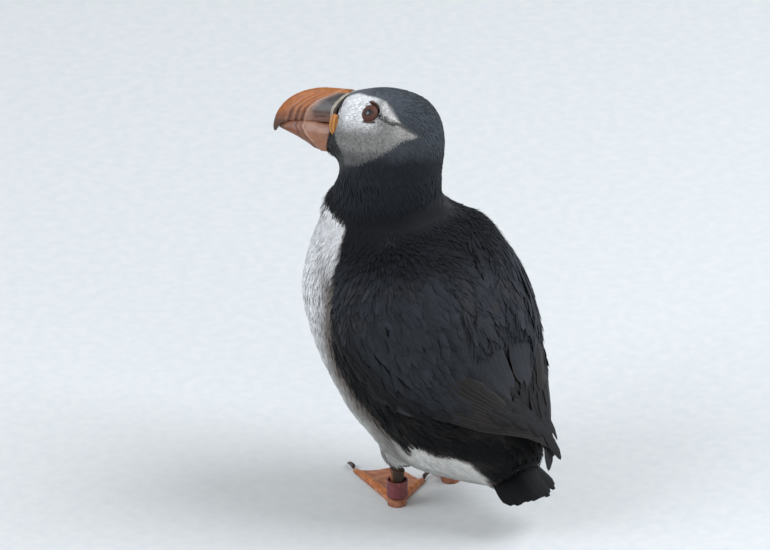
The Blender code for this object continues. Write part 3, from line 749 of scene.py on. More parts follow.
def unwrap(points):
    lengths = np.linalg.norm(np.diff(unwrapLine, axis=0), axis=1)
    starts = np.concatenate([[0], np.cumsum(lengths)])
    best = np.full(len(points), 1e9)
    along = np.zeros(len(points))
    for i, (start, end) in enumerate(zip(unwrapLine[:-1], unwrapLine[1:])):
        edge = end - start
        share = ((points - start) @ edge) / (edge @ edge)
        share = np.clip(share, 0 if i else -1, 1 if i < len(lengths) - 1 else 2)
        off = np.linalg.norm(points - start - share[:, None] * edge, axis=1)
        nearer = off < best
        best = np.where(nearer, off, best)
        along = np.where(nearer, starts[i] + share * lengths[i], along)
    middle = np.stack([np.interp(along, starts, unwrapLine[:, k]) for k in range(3)], axis=1)
    rel = points - middle
    lying = np.interp(along, [60, 130], [1, 0])
    angle = np.arctan2(rel[:, 0], mix(-rel[:, 1:2], -rel[:, 2:3], lying * 0.5)[:, 0])
    across = 0.5 + angle / (2 * math.pi) * unwrapSetting["width"]
    share = along / (starts[-1] + unwrapSetting["spare"]) * unwrapSetting["length"]
    return np.stack([across, unwrapSetting["start"] + share], axis=1)


# Skin patches that feathers grow from.
skinPoints = pointsOf(skin)
skinNormals = normalsOf(skin)
skinFaces = trianglesOf(skin)
skinTree = treeOf([skin])


def sowRoots(count, seed):
    # evenly scattered places on the skin with their outward ways
    generator = np.random.default_rng(seed)
    a, b, c = (skinPoints[skinFaces[:, k]] for k in range(3))
    areas = np.linalg.norm(np.cross(b - a, c - a), axis=1)
    picked = generator.choice(len(areas), size=count, p=areas / areas.sum())
    u, v = generator.random(count), generator.random(count)
    over = u + v > 1
    u, v = np.where(over, 1 - u, u), np.where(over, 1 - v, v)
    w = 1 - u - v
    shares = np.stack([w, u, v], axis=1)[:, :, None]
    chosen = skinFaces[picked]
    return (skinPoints[chosen] * shares).sum(axis=1), unit((skinNormals[chosen] * shares).sum(axis=1))


def thinOut(points, spacing, seed):
    # keeps one place in each cell of the given size
    offset = np.random.default_rng(seed).random(3) * spacing
    cells = np.floor((points + offset + 500) / spacing).astype(np.int64)
    keys = (cells[:, 0] * 4096 + cells[:, 1]) * 4096 + cells[:, 2]
    return np.unique(keys, return_index=True)[1]


seeds = {"roots": 11, "coat": 40, "coverts": 61, "quills": 70, "tail": 91}
sownPlaces = 420000  # over the whole skin, before each piece thins its share to its own spacing
sownRoots, sownOutward = sowRoots(sownPlaces, seeds["roots"])
sownHead = toHead(sownRoots)
sownTrunk = sownRoots - trunkOrigin
sownWingAway, _, sownAlong, sownAcross = nearWing(sownRoots)
sownColours = markingsAndShade(sownRoots)
sownPale = sownColours.sum(axis=1) > 0.45
tell(f"sown {len(sownRoots)} places")


def eyeDistance(places):
    away = np.hypot(places[:, 0] - eyePlace["forward"], places[:, 1] - eyePlace["up"])
    return np.where(np.abs(places[:, 2]) > 9, away, 99)


def bareByEye(places):
    # bare plates above and below the eye, with the strip before them that feathers would cover
    ahead = places[:, 0] - eyePlace["forward"]
    above = places[:, 1] - eyePlace["up"]
    upper = ((ahead - 0.3) / 2.3) ** 2 + ((above - 5.2) / 2.6) ** 2 < 1
    lower = ((ahead - 1.0) / 4.3) ** 2 + ((above + 4.8) / 1.0) ** 2 < 1
    return (upper | lower) & (np.abs(places[:, 2]) > 9)


lastRing = 0.93  # share of a vane's length where its last ring stands


def growVanes(name, roots, outward, along, settings, colours, seed):
    # thin closed vanes: two edges and a raised shaft, narrowing to a point
    generator = np.random.default_rng(seed)
    count = len(roots)
    rings = settings["rings"]
    length = settings["length"] * generator.uniform(0.78, 1.2, count) * settings["size"]
    width = settings["width"] * generator.uniform(0.8, 1.2, count) * settings["size"]
    turn = np.radians(generator.normal(0, settings["stray"], count))
    side = np.cross(along, outward)
    way = along * np.cos(turn)[:, None] + side * np.sin(turn)[:, None]
    side = np.cross(way, outward)
    lift = np.tan(np.radians(settings["lift"] + generator.normal(0, settings["liftStray"], count)))
    bend = length / (2 * settings["bodyRadius"])
    sway = generator.normal(0, settings["sway"], count)
    shape = np.interp(np.linspace(0, lastRing, rings), *settings["outline"])
    points = np.empty((count, rings * 3 + 1, 3))
    normals = np.empty_like(points)
    acrossValue = np.zeros((count, rings * 3 + 1))
    alongValue = np.ones((count, rings * 3 + 1))
    for ring in range(rings):
        t = lastRing * ring / (rings - 1)
        rise = length * (lift * t - bend * t * t) - settings["sink"] * (1 - t)
        middle = roots + way * (length * t)[:, None] + outward * rise[:, None]
        middle = middle + side * (sway * length * t * t)[:, None]
        half = side * (width * shape[ring] / 2)[:, None]
        keel = outward * (width * shape[ring] * settings["camber"])[:, None]
        for k, (share, raised) in enumerate(((-1, 0), (1, 0), (0, 1))):
            points[:, ring * 3 + k] = middle + half * share + keel * raised
            normals[:, ring * 3 + k] = outward + unit(half) * share * settings["round"]
            acrossValue[:, ring * 3 + k] = share
            alongValue[:, ring * 3 + k] = t
    rise = length * (lift - bend)
    tip = roots + way * length[:, None] + outward * rise[:, None] + side * (sway * length)[:, None]
    points[:, -1] = tip
    normals[:, -1] = outward + way * 0.3
    obj = meshFromTufts(name, points, vaneFaces(rings), roots)
    shadeWith(obj, unit(normals.reshape(-1, 3)))
    vary = generator.normal(0, settings["shadeVary"], count)
    tone = np.clip(1 + vary, 0.5, 1.6)[:, None] * np.ones((1, rings * 3 + 1))
    each = np.repeat(colours[:, None, :], rings * 3 + 1, axis=1) * tone[..., None]
    giveColour(obj, np.clip(each, 0, 1).reshape(-1, 3))
    giveNumber(obj, acrossValue, "across")
    giveNumber(obj, alongValue, "along")
    return obj


def vaneFaces(rings):
    faces = [(0, 1, 2)]
    for ring in range(rings - 1):
        low, high = ring * 3, ring * 3 + 3
        for a, b in ((0, 2), (2, 1), (1, 0)):
            faces.append((low + a, low + b, high + b))
            faces.append((low + a, high + b, high + a))
    top = (rings - 1) * 3
    tip = rings * 3
    faces += [(top, top + 2, tip), (top + 2, top + 1, tip), (top + 1, top, tip)]
    return np.array(faces)


def meshFromTufts(name, points, faces, roots):
    # one mesh of many like closed pieces, each with its small patch of the unwrap
    count, each = points.shape[:2]
    allFaces = (faces[None] + (np.arange(count) * each)[:, None, None]).reshape(-1, faces.shape[1])
    mesh = bpy.data.meshes.new(name)
    sides = faces.shape[1]
    mesh.vertices.add(count * each)
    mesh.vertices.foreach_set("co", (points * mm).ravel())
    mesh.loops.add(len(allFaces) * sides)
    mesh.loops.foreach_set("vertex_index", allFaces.ravel().astype(np.int32))
    mesh.polygons.add(len(allFaces))
    mesh.polygons.foreach_set("loop_start", (np.arange(len(allFaces)) * sides).astype(np.int32))
    mesh.update(calc_edges=True)
    addPatches(mesh, points, allFaces, roots)
    obj = bpy.data.objects.new(name, mesh)
    bpy.context.scene.collection.objects.link(obj)
    return obj


patchSize = 0.003  # of the unwrap, for each tuft


def addPatches(mesh, points, allFaces, roots):
    count, each = points.shape[:2]
    rel = points - points.mean(axis=1, keepdims=True)
    main = unit(points[:, -1] - points[:, 0])
    other = unit(np.cross(main, unit(rel[:, min(2, each - 1)] + 1e-6)))
    flat = np.stack([(rel * main[:, None]).sum(2), (rel * other[:, None]).sum(2)], axis=2)
    reach = np.abs(flat).max(axis=(1, 2), keepdims=True)
    spots = unwrap(roots)[:, None, :] + flat / np.maximum(reach, 1e-6) * patchSize / 2
    layer = mesh.uv_layers.new(name="OFBake")
    layer.data.foreach_set("uv", np.clip(spots.reshape(-1, 2), 0, 1)[allFaces.ravel()].ravel())


def shadeWith(obj, normals):
    # feather surfaces catch light as one soft coat, not as separate scales
    choose(obj)
    bpy.ops.object.shade_smooth()
    obj.data.normals_split_custom_set_from_vertices(normals.tolist())


def growQuills(name, paths, outward, widths, settings, colours, roots, seed):
    # closed long feathers on given centre lines: cambered vane with a raised shaft
    generator = np.random.default_rng(seed)
    count, rings = paths.shape[:2]
    t = np.linspace(0, 1, rings)
    shape = np.interp(t, *settings["outline"])
    ways = unit(np.gradient(paths, axis=1))
    side = unit(np.cross(ways, outward))
    columns = np.array([-1.0, -0.5, 0.0, 0.5, 1.0])
    points = np.empty((count, rings, 8, 3))
    across = np.empty((count, rings, 8))
    wave = generator.normal(0, settings["fray"], (count, rings, 2))
    half = widths[:, None] / 2 * shape[None]
    for k, share in enumerate(columns):
        edge = half * share * (1 + wave[:, :, int(share > 0)] * abs(share))
        rise = settings["camber"] * half * (1 - share ** 2) + (settings["shaft"] if share == 0 else 0)
        points[:, :, k] = paths + side * edge[..., None] + outward * rise[..., None]
        across[:, :, k] = share
    for k, share in enumerate(columns[3:0:-1]):
        under = points[:, :, 3 - k] - outward * settings["thick"]
        points[:, :, 5 + k] = under
        across[:, :, 5 + k] = share
    normals = outward[:, :, None, :] + side[:, :, None, :] * (across[..., None] * settings["round"])
    allPoints = points.reshape(count, rings * 8, 3)
    obj = meshFromTufts(name, allPoints, quillFaces(rings), roots)
    shadeWith(obj, unit(normals.reshape(-1, 3)))
    giveColour(obj, np.repeat(colours, rings * 8, axis=0))
    giveNumber(obj, across, "across")
    giveNumber(obj, np.broadcast_to(t[None, :, None], across.shape), "along")
    return obj


def quillFaces(rings):
    faces = []
    for ring in range(rings - 1):
        low, high = ring * 8, ring * 8 + 8
        for k in range(8):
            nextK = (k + 1) % 8
            faces.append((low + k, high + nextK, high + k))
            faces.append((low + k, low + nextK, high + nextK))
    for start, turned in ((0, False), ((rings - 1) * 8, True)):
        for k in range(1, 7):
            face = (start, start + k, start + k + 1)
            faces.append(face if turned else face[::-1])
    return np.array(faces)


def vaneMaterial(name, roughness, sheen, specular):
    # keratin barbs either side of the shaft: soft sheen, no hard gloss, mottled at 4 mm
    # real barbs are too fine to show, so each vane has a few coarser bands along it
    material, tree, shader = newMaterial(name, {
        "Roughness": roughness, "Specular IOR Level": specular, "Sheen Weight": sheen,
        "Sheen Roughness": 0.45,
    })
    coat = addNode(tree, "ShaderNodeAttribute", {"attribute_name": "coat"}).outputs["Color"]
    across = addNode(tree, "ShaderNodeAttribute", {"attribute_name": "across"}).outputs["Fac"]
    along = addNode(tree, "ShaderNodeAttribute", {"attribute_name": "along"}).outputs["Fac"]
    place = addNode(tree, "ShaderNodeTexCoord").outputs["Object"]
    mottle = addNode(tree, "ShaderNodeTexNoise", {"Scale": 260.0, "Detail": 3.0}, {"Vector": place})
    stops = [(0.25, "#c4c4c4"), (0.75, "#ffffff")]
    shade = addNode(tree, "ShaderNodeValToRGB", {"stops": stops}, {"Fac": mottle.outputs["Fac"]})
    toned = addNode(tree, "ShaderNodeMix", {**multiply, 0: 0.7}, {6: coat, 7: shade.outputs["Color"]})
    off = addNode(tree, "ShaderNodeMath", {"operation": "ABSOLUTE"}, {0: across}).outputs[0]
    slant = addNode(tree, "ShaderNodeMath", {"operation": "MULTIPLY_ADD", 1: -0.22}, {0: off, 2: along})
    comb = addNode(tree, "ShaderNodeCombineXYZ", links={"X": slant.outputs[0]}).outputs[0]
    barbs = addNode(tree, "ShaderNodeTexWave", {"Scale": 9.0, "Distortion": 1.5}, {"Vector": comb})
    height = {"Height": barbs.outputs["Fac"]}
    bump = addNode(tree, "ShaderNodeBump", {"Strength": 0.25, "Distance": 0.0001}, height)
    linkUp(tree, shader, {"Base Color": toned.outputs[2], "Normal": bump.outputs["Normal"]})
    return material


leaf = ([0, 0.25, 0.55, 0.8, lastRing], [0.35, 0.85, 1.0, 0.8, 0.5])
strand = ([0, 0.3, 0.7, lastRing], [0.7, 1.0, 0.75, 0.35])
breastVanes = dict(
    spacing=1.5, rings=4, length=7.8, width=1.85, lift=8.0, liftStray=0.8, stray=5, sway=0.04,
    bodyRadius=48, sink=0.3, camber=0.03, round=0.06, outline=leaf, shadeVary=0.025,
)
breastThreads = dict(
    spacing=1.42, rings=3, length=8.5, width=0.5, lift=8.2, liftStray=0.8, stray=6, sway=0.06,
    bodyRadius=48, sink=0.2, camber=0.1, round=0.08, outline=strand, shadeVary=0.04,
)
coatEdges = {
    "headHeight": 166, "headUp": -18, "faceBack": -24, "besideRim": 0.5, "throatUp": -10, "roundEye": 3.9,
    "neckHeight": 149, "bodyTop": 152, "bodyLow": 19.5, "bodyBack": 76,
    "bellyTop": 84,  # the belly's coat pieces begin below the breast's here
    "wingAway": 3.8, "wingStations": (2.6, 6.8), "wingShares": (0.01, 0.86),  # under the coverts, left bare
}
coatPieces = {
    "coatFace": dict(
        spacing=0.88, rings=3, length=2.7, width=0.95, lift=9, liftStray=3, stray=7, sway=0.03,
        bodyRadius=22, sink=0.15, camber=0.12, round=0.35, outline=leaf, shadeVary=0.05,
    ),
    "coatCap": dict(
        spacing=0.95, rings=3, length=3.4, width=0.95, lift=7, liftStray=2, stray=6, sway=0.03,
        bodyRadius=24, sink=0.2, camber=0.08, round=0.22, outline=leaf, shadeVary=0.06,
    ),
    "coatCollar": dict(
        spacing=1.12, rings=3, length=5.2, width=1.2, lift=8, liftStray=2.2, stray=7, sway=0.04,
        bodyRadius=30, sink=0.25, camber=0.09, round=0.25, outline=leaf, shadeVary=0.08,
    ),
    "coatBreast": breastVanes,
    "coatBelly": breastVanes,
    "breastStrands": breastThreads,
    "bellyStrands": breastThreads,
    "coatBack": dict(
        spacing=1.95, rings=4, length=11.0, width=3.2, lift=8, liftStray=2.5, stray=9, sway=0.05,
        bodyRadius=45, sink=0.3, camber=0.07, round=0.22, outline=leaf, shadeVary=0.12,
    ),
    "backStrands": dict(
        spacing=1.75, rings=3, length=11.5, width=0.7, lift=10, liftStray=3, stray=14, sway=0.10,
        bodyRadius=45, sink=0.2, camber=0.2, round=0.3, outline=strand, shadeVary=0.2,
    ),
}


palePieces = ("coatFace", "coatBreast", "coatBelly", "breastStrands", "bellyStrands")


def coatRegion(name, places, points, pale):
    # which of the sown places belong to a coat piece
    edge = coatEdges
    onHead = (points[:, 2] > edge["headHeight"]) & (places[:, 1] > edge["headUp"])
    behindRim = places[:, 0] < rimForward(places[:, 1]) - edge["besideRim"]
    clear = behindRim & (eyeDistance(places) > edge["roundEye"]) & ~bareByEye(places)
    if name == "coatFace":
        return onHead & (places[:, 0] > edge["faceBack"]) & pale & clear
    if name == "coatCap":
        return onHead & clear & ~pale
    neck = ~onHead & (points[:, 2] > edge["neckHeight"])
    neck &= behindRim | (places[:, 1] < edge["throatUp"])
    if name == "coatCollar":
        return neck
    body = ~onHead & ~neck & (points[:, 2] < edge["bodyTop"])
    body &= (points[:, 2] > edge["bodyLow"]) & (points[:, 1] < edge["bodyBack"])
    underWing = sownWingAway < edge["wingAway"]
    for value, (low, high) in ((sownAlong, edge["wingStations"]), (sownAcross, edge["wingShares"])):
        underWing &= (value > low) & (value < high)
    body &= ~underWing
    if name not in palePieces:
        return body & ~pale
    upper = points[:, 2] > edge["bellyTop"]
    return body & pale & (upper if name in ("coatBreast", "breastStrands") else ~upper)


def tuftSize(points, places, length, upFacing):
    # feathers shorten along the cheek's edge, toward the neck, the thighs and the tail's root
    if length < 7:
        edge = np.abs(insideBy(places[:, :2], facePatch))
        return 1 - 0.5 * ease(edge, 3.2, 0.8)
    border = np.abs(insideBy(points[:, 1:], underparts))
    size = (1 - 0.5 * ease(points[:, 2], 122, 148)) * (1 - 0.4 * ease(border, 7, 1))
    size *= 1 - 0.45 * ease(points[:, 2], 62, 36) * ease(points[:, 1], -10, 8)
    overTail = ease(points[:, 1], 38, 56)
    return size * (1 - 0.3 * overTail * (1 - upFacing)) * (1 + 0.9 * overTail * upFacing)


# extra lift, in degrees, at the foot of the throat and on the rump, and how much longer the throat's are
standing = {"ruff": 12, "rump": 6, "ruffLonger": 0.5}


def buildCoat(name, material, seed):
    settings = coatPieces[name]
    chosen = np.where(coatRegion(name, sownHead, sownTrunk, sownPale))[0]
    chosen = chosen[thinOut(sownRoots[chosen], settings["spacing"], seed)]
    roots, outward = sownRoots[chosen], sownOutward[chosen]
    places = sownTrunk[chosen]
    size = tuftSize(places, sownHead[chosen], settings["length"], ease(outward[:, 2], 0.1, 0.5))
    over = ease(places[:, 1], 40, 60) * ease(outward[:, 2], 0, 0.4)
    ruff = ease(places[:, 2], 168, 156) * ease(places[:, 1], -34, -46) * ease(places[:, 2], 144, 150)
    size = size * (1 + standing["ruffLonger"] * ruff)
    lift = settings["lift"] + standing["ruff"] * ruff + standing["rump"] * over
    settings = dict(settings, size=size, lift=lift)
    obj = growVanes(name, roots, outward, lieAlong(roots, outward), settings, sownColours[chosen], seed)
    finishPiece(obj, material, "face_feathers" if name == "coatFace" else "white_feathers")
    tell(f"{name}: {len(chosen)} tufts, {len(obj.data.polygons)} triangles")


paleVane = vaneMaterial("softPalePlumage", 0.8, 0.15, 0.25)
darkVane = vaneMaterial("softDarkPlumage", 0.66, 0.03, 0.14)
for number, pieceName in enumerate(coatPieces):
    buildCoat(pieceName, paleVane if pieceName in palePieces else darkVane, seeds["coat"] + number)


# Coverts and scapulars: overlapping rows over the folded wing, larger and looser toward the back.
covertRows = {
    "fromStation": 8.2, "toStation": 0.6, "rowStep": 0.16, "acrossStep": 2.7, "jitter": 0.4,
    "rings": 5, "length": 14.0, "width": 4.4, "lift": 4.0, "liftStray": 1.8, "stray": 8, "sway": 0.07,
    "bodyRadius": 60, "sink": 0.3, "camber": 0.07, "round": 0.38, "shadeVary": 0.12,
    "outline": ([0, 0.3, 0.6, 0.8, lastRing], [0.5, 0.9, 1.0, 0.78, 0.40]),
}


def buildCoverts(side, seed):
    generator = np.random.default_rng(seed)
    rows = []
    station = covertRows["fromStation"]
    while station > covertRows["toStation"]:
        row = alongRows(np.array([station]))[0]
        around = row[4] * math.radians(row[6] - row[5])
        count = int(around / covertRows["acrossStep"])
        reach = 1.1 if station > 2.9 else 1.0
        across = (np.arange(int(count * reach)) + generator.random()) / count
        count = len(across)
        across = across + generator.normal(0, covertRows["jitter"] / count, count)
        along = station + generator.normal(0, covertRows["jitter"] * covertRows["rowStep"], count)
        stations = np.full(count, station)
        lowest = 0.04 + 0.36 * ease(stations, 4.1, 3.0) + 0.16 * ease(stations, 2.7, 1.2)
        rows.append(np.stack([along, across], axis=1)[across > lowest])
        station -= covertRows["rowStep"]
    s, q = np.concatenate(rows).T
    sunk = 0.7 * ease(q, 0.22, 0.05) + 2.6 * ease(s, 6.4, 7.8)
    sunk = np.maximum(sunk, 3.0 * ease(q, 0.68, 0.92) * ease(s, 2.4, 3.4))
    sunk -= 1.2 * ease(s, 3.4, 2.4)
    roots, outward, toTip = wingPlace(side, s, q, 0.1 - sunk)
    upward = np.cross(outward, toTip) * side
    along = unit(toTip - upward * (0.08 * ease(q, 0.9, 0.3))[:, None])
    upper = ease(q, 0.45, 0.85)
    colours = mix(tint["wing"], tint["back"], ease(s, 5.5, 8))
    colours = mix(colours, tint["wingBrown"], 0.7 * ease(s, 4.6, 3.0))
    colours = mix(colours, tint["shoulder"], ease(s, 6.6, 7.8))
    # painted shadow: the lower edge of the folded wing is darkened to the flank's black where it overhangs
    # the body
    colours = mix(colours, tint["flank"], 0.95 * ease(q, 0.3, 0.07))
    settings = dict(covertRows, size=(0.78 + 0.42 * upper) * (0.6 + 0.4 * ease(s, 8.0, 6)))
    settings["lift"] = 1.5 + 3.0 * ease(q, 0.05, 0.3) * ease(s, 7.4, 6.2) + 1.5 * upper * ease(q, 1, 0.85)
    sideName = "left" if side > 0 else "right"
    obj = growVanes(f"coverts_{sideName}", roots, outward, along, settings, colours, seed)
    finishPiece(obj, darkVane, "black_feathers")
    tell(f"coverts {sideName}: {len(s)}")


for side in (1, -1):
    buildCoverts(side, seeds["coverts"] + side)


# Long feathers of the folded wing. Values run from the first feather to the last of each tract.
wingTracts = {
    "primaries": dict(count=10, root=((4.9, 0.05), (4.6, 0.55)), tip=((0.0, 0.30), (2.3, 0.62)),
                      width=(6.5, 8.5), height=(-0.9, 0.3), colour="wingBrown", shaft=0.22, stray=0.012),
    "secondaries": dict(count=13, root=((6.5, 0.08), (4.9, 0.86)), tip=((4.0, 0.02), (2.3, 0.80)),
                        width=(8.5, 9.0), height=(-1.9, -1.2), colour="wing", shaft=0.05, stray=0.02),
    "tertials": dict(count=7, root=((5.8, 0.66), (5.6, 1.0)), tip=((2.6, 0.62), (2.9, 1.0)),
                     width=(9.5, 8.5), height=(-1.2, -1.4), colour="wing", shaft=0.1, stray=0.03),
}
quillShape = {
    "rings": 13, "camber": 0.16, "shaft": 0.12, "thick": 0.22, "round": 0.35, "fray": 0.05,
    "outline": ([0, 0.12, 0.5, 0.8, 0.92, 0.975, 1], [0.3, 0.7, 1, 0.96, 0.80, 0.5, 0.12]),
}


def between(pair, share):
    first, last = (np.atleast_1d(np.asarray(end, float)) for end in pair)
    return first + (last - first) * share[:, None]


def buildWingTract(side, tractName, tract, seed):
    generator = np.random.default_rng(seed)
    share = np.linspace(0, 1, tract["count"])
    root, tip = between(tract["root"], share), between(tract["tip"], share)
    tip = tip + generator.normal(0, tract["stray"], tip.shape) * (2.0, 1.0)
    rings = quillShape["rings"]
    t = np.linspace(0, 1, rings)
    s = root[:, :1] + (tip[:, :1] - root[:, :1]) * t
    q = root[:, 1:] + (tip[:, 1:] - root[:, 1:]) * t ** 1.3
    height = between(tract["height"], share) + 0.5 * t ** 2 - 0.8 * (1 - t) ** 3
    places, outward, _ = wingPlace(side, np.maximum(s, 0.02).ravel(), q.ravel(), height.ravel())
    paths = places.reshape(tract["count"], rings, 3)
    outward = outward.reshape(tract["count"], rings, 3)
    widths = between(tract["width"], share)[:, 0]
    tone = generator.normal(1, 0.1, tract["count"])[:, None]
    colours = np.clip(tint[tract["colour"]] * tone, 0, 1)
    sideName = "left" if side > 0 else "right"
    name = f"{tractName}_{sideName}"
    obj = growQuills(name, paths, outward, widths, quillShape, colours, paths[:, 0], seed)
    finishPiece(obj, quillVane, "black_feathers")
    tell(name)


def quillMaterial():
    # worn flight feathers: brown-black barbs, paler shaft and edges, satin where the barbs lie flat
    material = vaneMaterial("flightFeatherVane", 0.6, 0.02, 0.18)
    tree = material.node_tree
    shader = tree.nodes["Principled BSDF"]
    barbs = shader.inputs["Base Color"].links[0].from_socket
    across = addNode(tree, "ShaderNodeAttribute", {"attribute_name": "across"}).outputs["Fac"]
    off = addNode(tree, "ShaderNodeMath", {"operation": "ABSOLUTE"}, {0: across}).outputs[0]
    stops = [(0.0, "#453e3a"), (0.035, "#2e2a28"), (0.07, "#000000"), (0.72, "#000000"), (0.96, "#38332f")]
    shaft = addNode(tree, "ShaderNodeValToRGB", {"stops": stops}, {"Fac": off}).outputs["Color"]
    lighten = {"data_type": "RGBA", "blend_type": "LIGHTEN", 0: 0.55}
    added = addNode(tree, "ShaderNodeMix", lighten, {6: barbs, 7: shaft})
    linkUp(tree, shader, {"Base Color": added.outputs[2]})
    return material


quillVane = quillMaterial()
for side in (1, -1):
    for number, (tractName, tract) in enumerate(wingTracts.items()):
        buildWingTract(side, tractName, tract, seeds["quills"] + number + side)


# Tail: a small fan of stiff feathers, the middle pair on top.
tailFan = {
    "count": 12, "rootAt": (52.0, 37.6), "tipAt": (86.0, 17.6), "rootHalf": 8.0, "tipHalf": 15.5,
    "width": 9.5, "arch": 2.5, "layer": 0.42, "sideShorter": 6.0,
    "length": 32.0, "uneven": 0.03,
}


def buildTail(seed):
    generator = np.random.default_rng(seed)
    share = np.linspace(-1, 1, tailFan["count"])
    t = np.linspace(0, 1, quillShape["rings"])
    x = trunkOrigin[0] + share[:, None] * (
        tailFan["rootHalf"] + (tailFan["tipHalf"] - tailFan["rootHalf"]) * t
    )
    uneven = generator.normal(0, tailFan["uneven"], (len(share), 1))
    reach = 1 - tailFan["sideShorter"] / tailFan["length"] * share[:, None] ** 2 + uneven
    (rootBack, rootUp), (tipBack, tipUp) = tailFan["rootAt"], tailFan["tipAt"]
    y = trunkOrigin[1] + rootBack + (tipBack - rootBack) * t * reach
    z = rootUp + (tipUp - rootUp) * t * reach
    layer = tailFan["layer"] * (1 - np.abs(share[:, None])) * tailFan["count"] / 2
    z = z + tailFan["arch"] * (1 - share[:, None] ** 2) * (1 - 0.4 * t) + 1.2 * np.sin(t * math.pi) + layer
    paths = np.stack([x, y, z], axis=2)
    outward = np.stack([0.35 * share[:, None] + 0 * t, 0.5 + 0 * x, 0.85 + 0 * x], axis=2)
    outward = unit(outward)
    colours = 0.8 * tint["tail"] * generator.normal(1, 0.14, (len(share), 1))
    widths = np.full(len(share), tailFan["width"])
    shape = dict(quillShape, camber=0.14, shaft=0.08, round=0.55, fray=0.03)
    shape["outline"] = ([0, 0.12, 0.6, 0.88, 0.96, 1], [0.3, 0.7, 1, 0.94, 0.74, 0.3])
    obj = growQuills("tailFeathers", paths, outward, widths, shape, colours, paths[:, 0], seed)
    finishPiece(obj, darkVane, "black_feathers")


buildTail(seeds["tail"])
tell("wings and tail ready")


# Bill: two horny halves with grooves, a cream rim and a wrinkled rosette at each corner.
billSetting = {
    "voxel": 0.45, "smoothRounds": 18,
    "reachBack": 2.6, "lean": 3.6,
    # pale ridge between base plate and grooved front: forward at each height
    "ridgeUp": (-12, -5.6, -1.5, 3.3, 6.2, 12.4, 16.9, 21.2, 24),
    "ridgeForward": (34.0, 37.7, 41.0, 44.1, 43.4, 40.6, 35.7, 25.5, 20.0),
    "upperGrooves": ((1.9, 0.42, 0.55), (5.4, 0.30, 0.6), (9.2, 0.24, 0.7)),  # ahead, depth, width
    "lowerGrooves": ((1.7, 0.32, 0.5), (4.8, 0.22, 0.55)),
    "ridgeHigh": 0.4, "ridgeWide": 0.75,
    "nostril": ((31.2, 8.7), (36.4, 8.3)), "nostrilDeep": 0.55, "nostrilWide": 0.5,
}
billColour = linearSet({
    "plateGrey": "#3a3432", "platePink": "#7d5646", "ridge": "#b48b76", "groove": "#4a261b",
    "gold": "#a45a0e", "goldPale": "#a8641f", "frontPink": "#80492a", "tip": "#573c28",
    "lowerPink": "#9c6c52", "lowerBase": "#ab7152", "edge": "#4a2c20",
})


def aheadOfRidge(places):
    return places[:, 0] - np.interp(places[:, 1], billSetting["ridgeUp"], billSetting["ridgeForward"])


def grooveShare(ahead, grooves):
    total = np.zeros(len(ahead))
    for place, _, width in grooves:
        total = np.maximum(total, np.exp(-((ahead - place) / width) ** 2))
    return total


def paintUpper(points):
    places = toHead(points)
    ahead, up = aheadOfRidge(places), places[:, 1]
    streak = waves(points, 1.6, 21)
    golden = ease(up + 0.12 * places[:, 0] + streak, 14, 19)
    front = mix(billColour["frontPink"], billColour["gold"], golden)
    front = mix(front, billColour["goldPale"], ease(up, 19, 22) * ease(places[:, 0], 50, 34))
    front = mix(front, billColour["tip"], ease(places[:, 0], 54, 61) * ease(up, 10, 3))
    plate = mix(billColour["platePink"], billColour["plateGrey"], ease(up + streak, 7.5, 13))
    plate = mix(plate, billColour["ridge"], 0.5 * ease(ahead, -5, -1))
    crown = ease(up, 19.9, 20.7) * ease(places[:, 0], 17, 22)
    plate = mix(plate, billColour["goldPale"], crown)
    colour = mix(plate, front, ease(ahead, 0.2, 1.2))
    colour = mix(colour, billColour["ridge"], 0.85 * np.exp(-((ahead + 0.1) / 0.75) ** 2))
    dark = grooveShare(ahead, billSetting["upperGrooves"]) * ease(up, 17.5, 12)
    colour = mix(colour, billColour["groove"], 0.85 * dark)
    pale = grooveShare(ahead, [(place + 1.5, 0, 0.6) for place, _, _ in billSetting["upperGrooves"]])
    colour = mix(colour, billColour["ridge"], 0.35 * pale * ease(up, 16, 11))
    colour = mix(colour, billColour["edge"], 0.85 * nostrilShare(places))
    return mix(colour, billColour["edge"], 0.6 * ease(up, 6.6, 5.6) * ease(places[:, 0], 30, 36))


def nostrilShare(places):
    away = distanceToLine(places[:, :2], billSetting["nostril"])
    return np.exp(-(away / billSetting["nostrilWide"]) ** 2)


def paintLower(points):
    places = toHead(points)
    ahead, up = aheadOfRidge(places), places[:, 1]
    colour = mix(billColour["lowerPink"], billColour["frontPink"], ease(ahead, 0, 4))
    colour = mix(colour, billColour["tip"], ease(places[:, 0], 52, 58))
    colour = mix(colour, billColour["lowerBase"], ease(up, 1, -6) * ease(ahead, 2, -2))
    colour = mix(colour, billColour["ridge"], 0.8 * np.exp(-(ahead / 0.7) ** 2))
    dark = grooveShare(ahead, billSetting["lowerGrooves"])
    colour = mix(colour, billColour["groove"], 0.7 * dark)
    base = np.exp(-((places[:, 0] - 29.4) / 0.7) ** 2)
    return mix(colour, billColour["groove"], 0.7 * base)


def settleBill(obj, lower):
    # the base runs back under the rim, and the lower half closes against the upper one
    places = toHead(pointsOf(obj))
    base = 33.55 - 0.3155 * (places[:, 1] + 8.8)
    share = ease(places[:, 0] - base, 7.5, 0.8)
    places[:, 0] -= share * (billSetting["reachBack"] + billSetting["lean"] * ease(places[:, 1], 12, 21))
    if lower:
        edge = ease(places[:, 1], -1, 4.5) * ease(places[:, 0], 33, 38)
        places[:, 1] += 0.9 * edge
    movePoints(obj, fromHead(places))


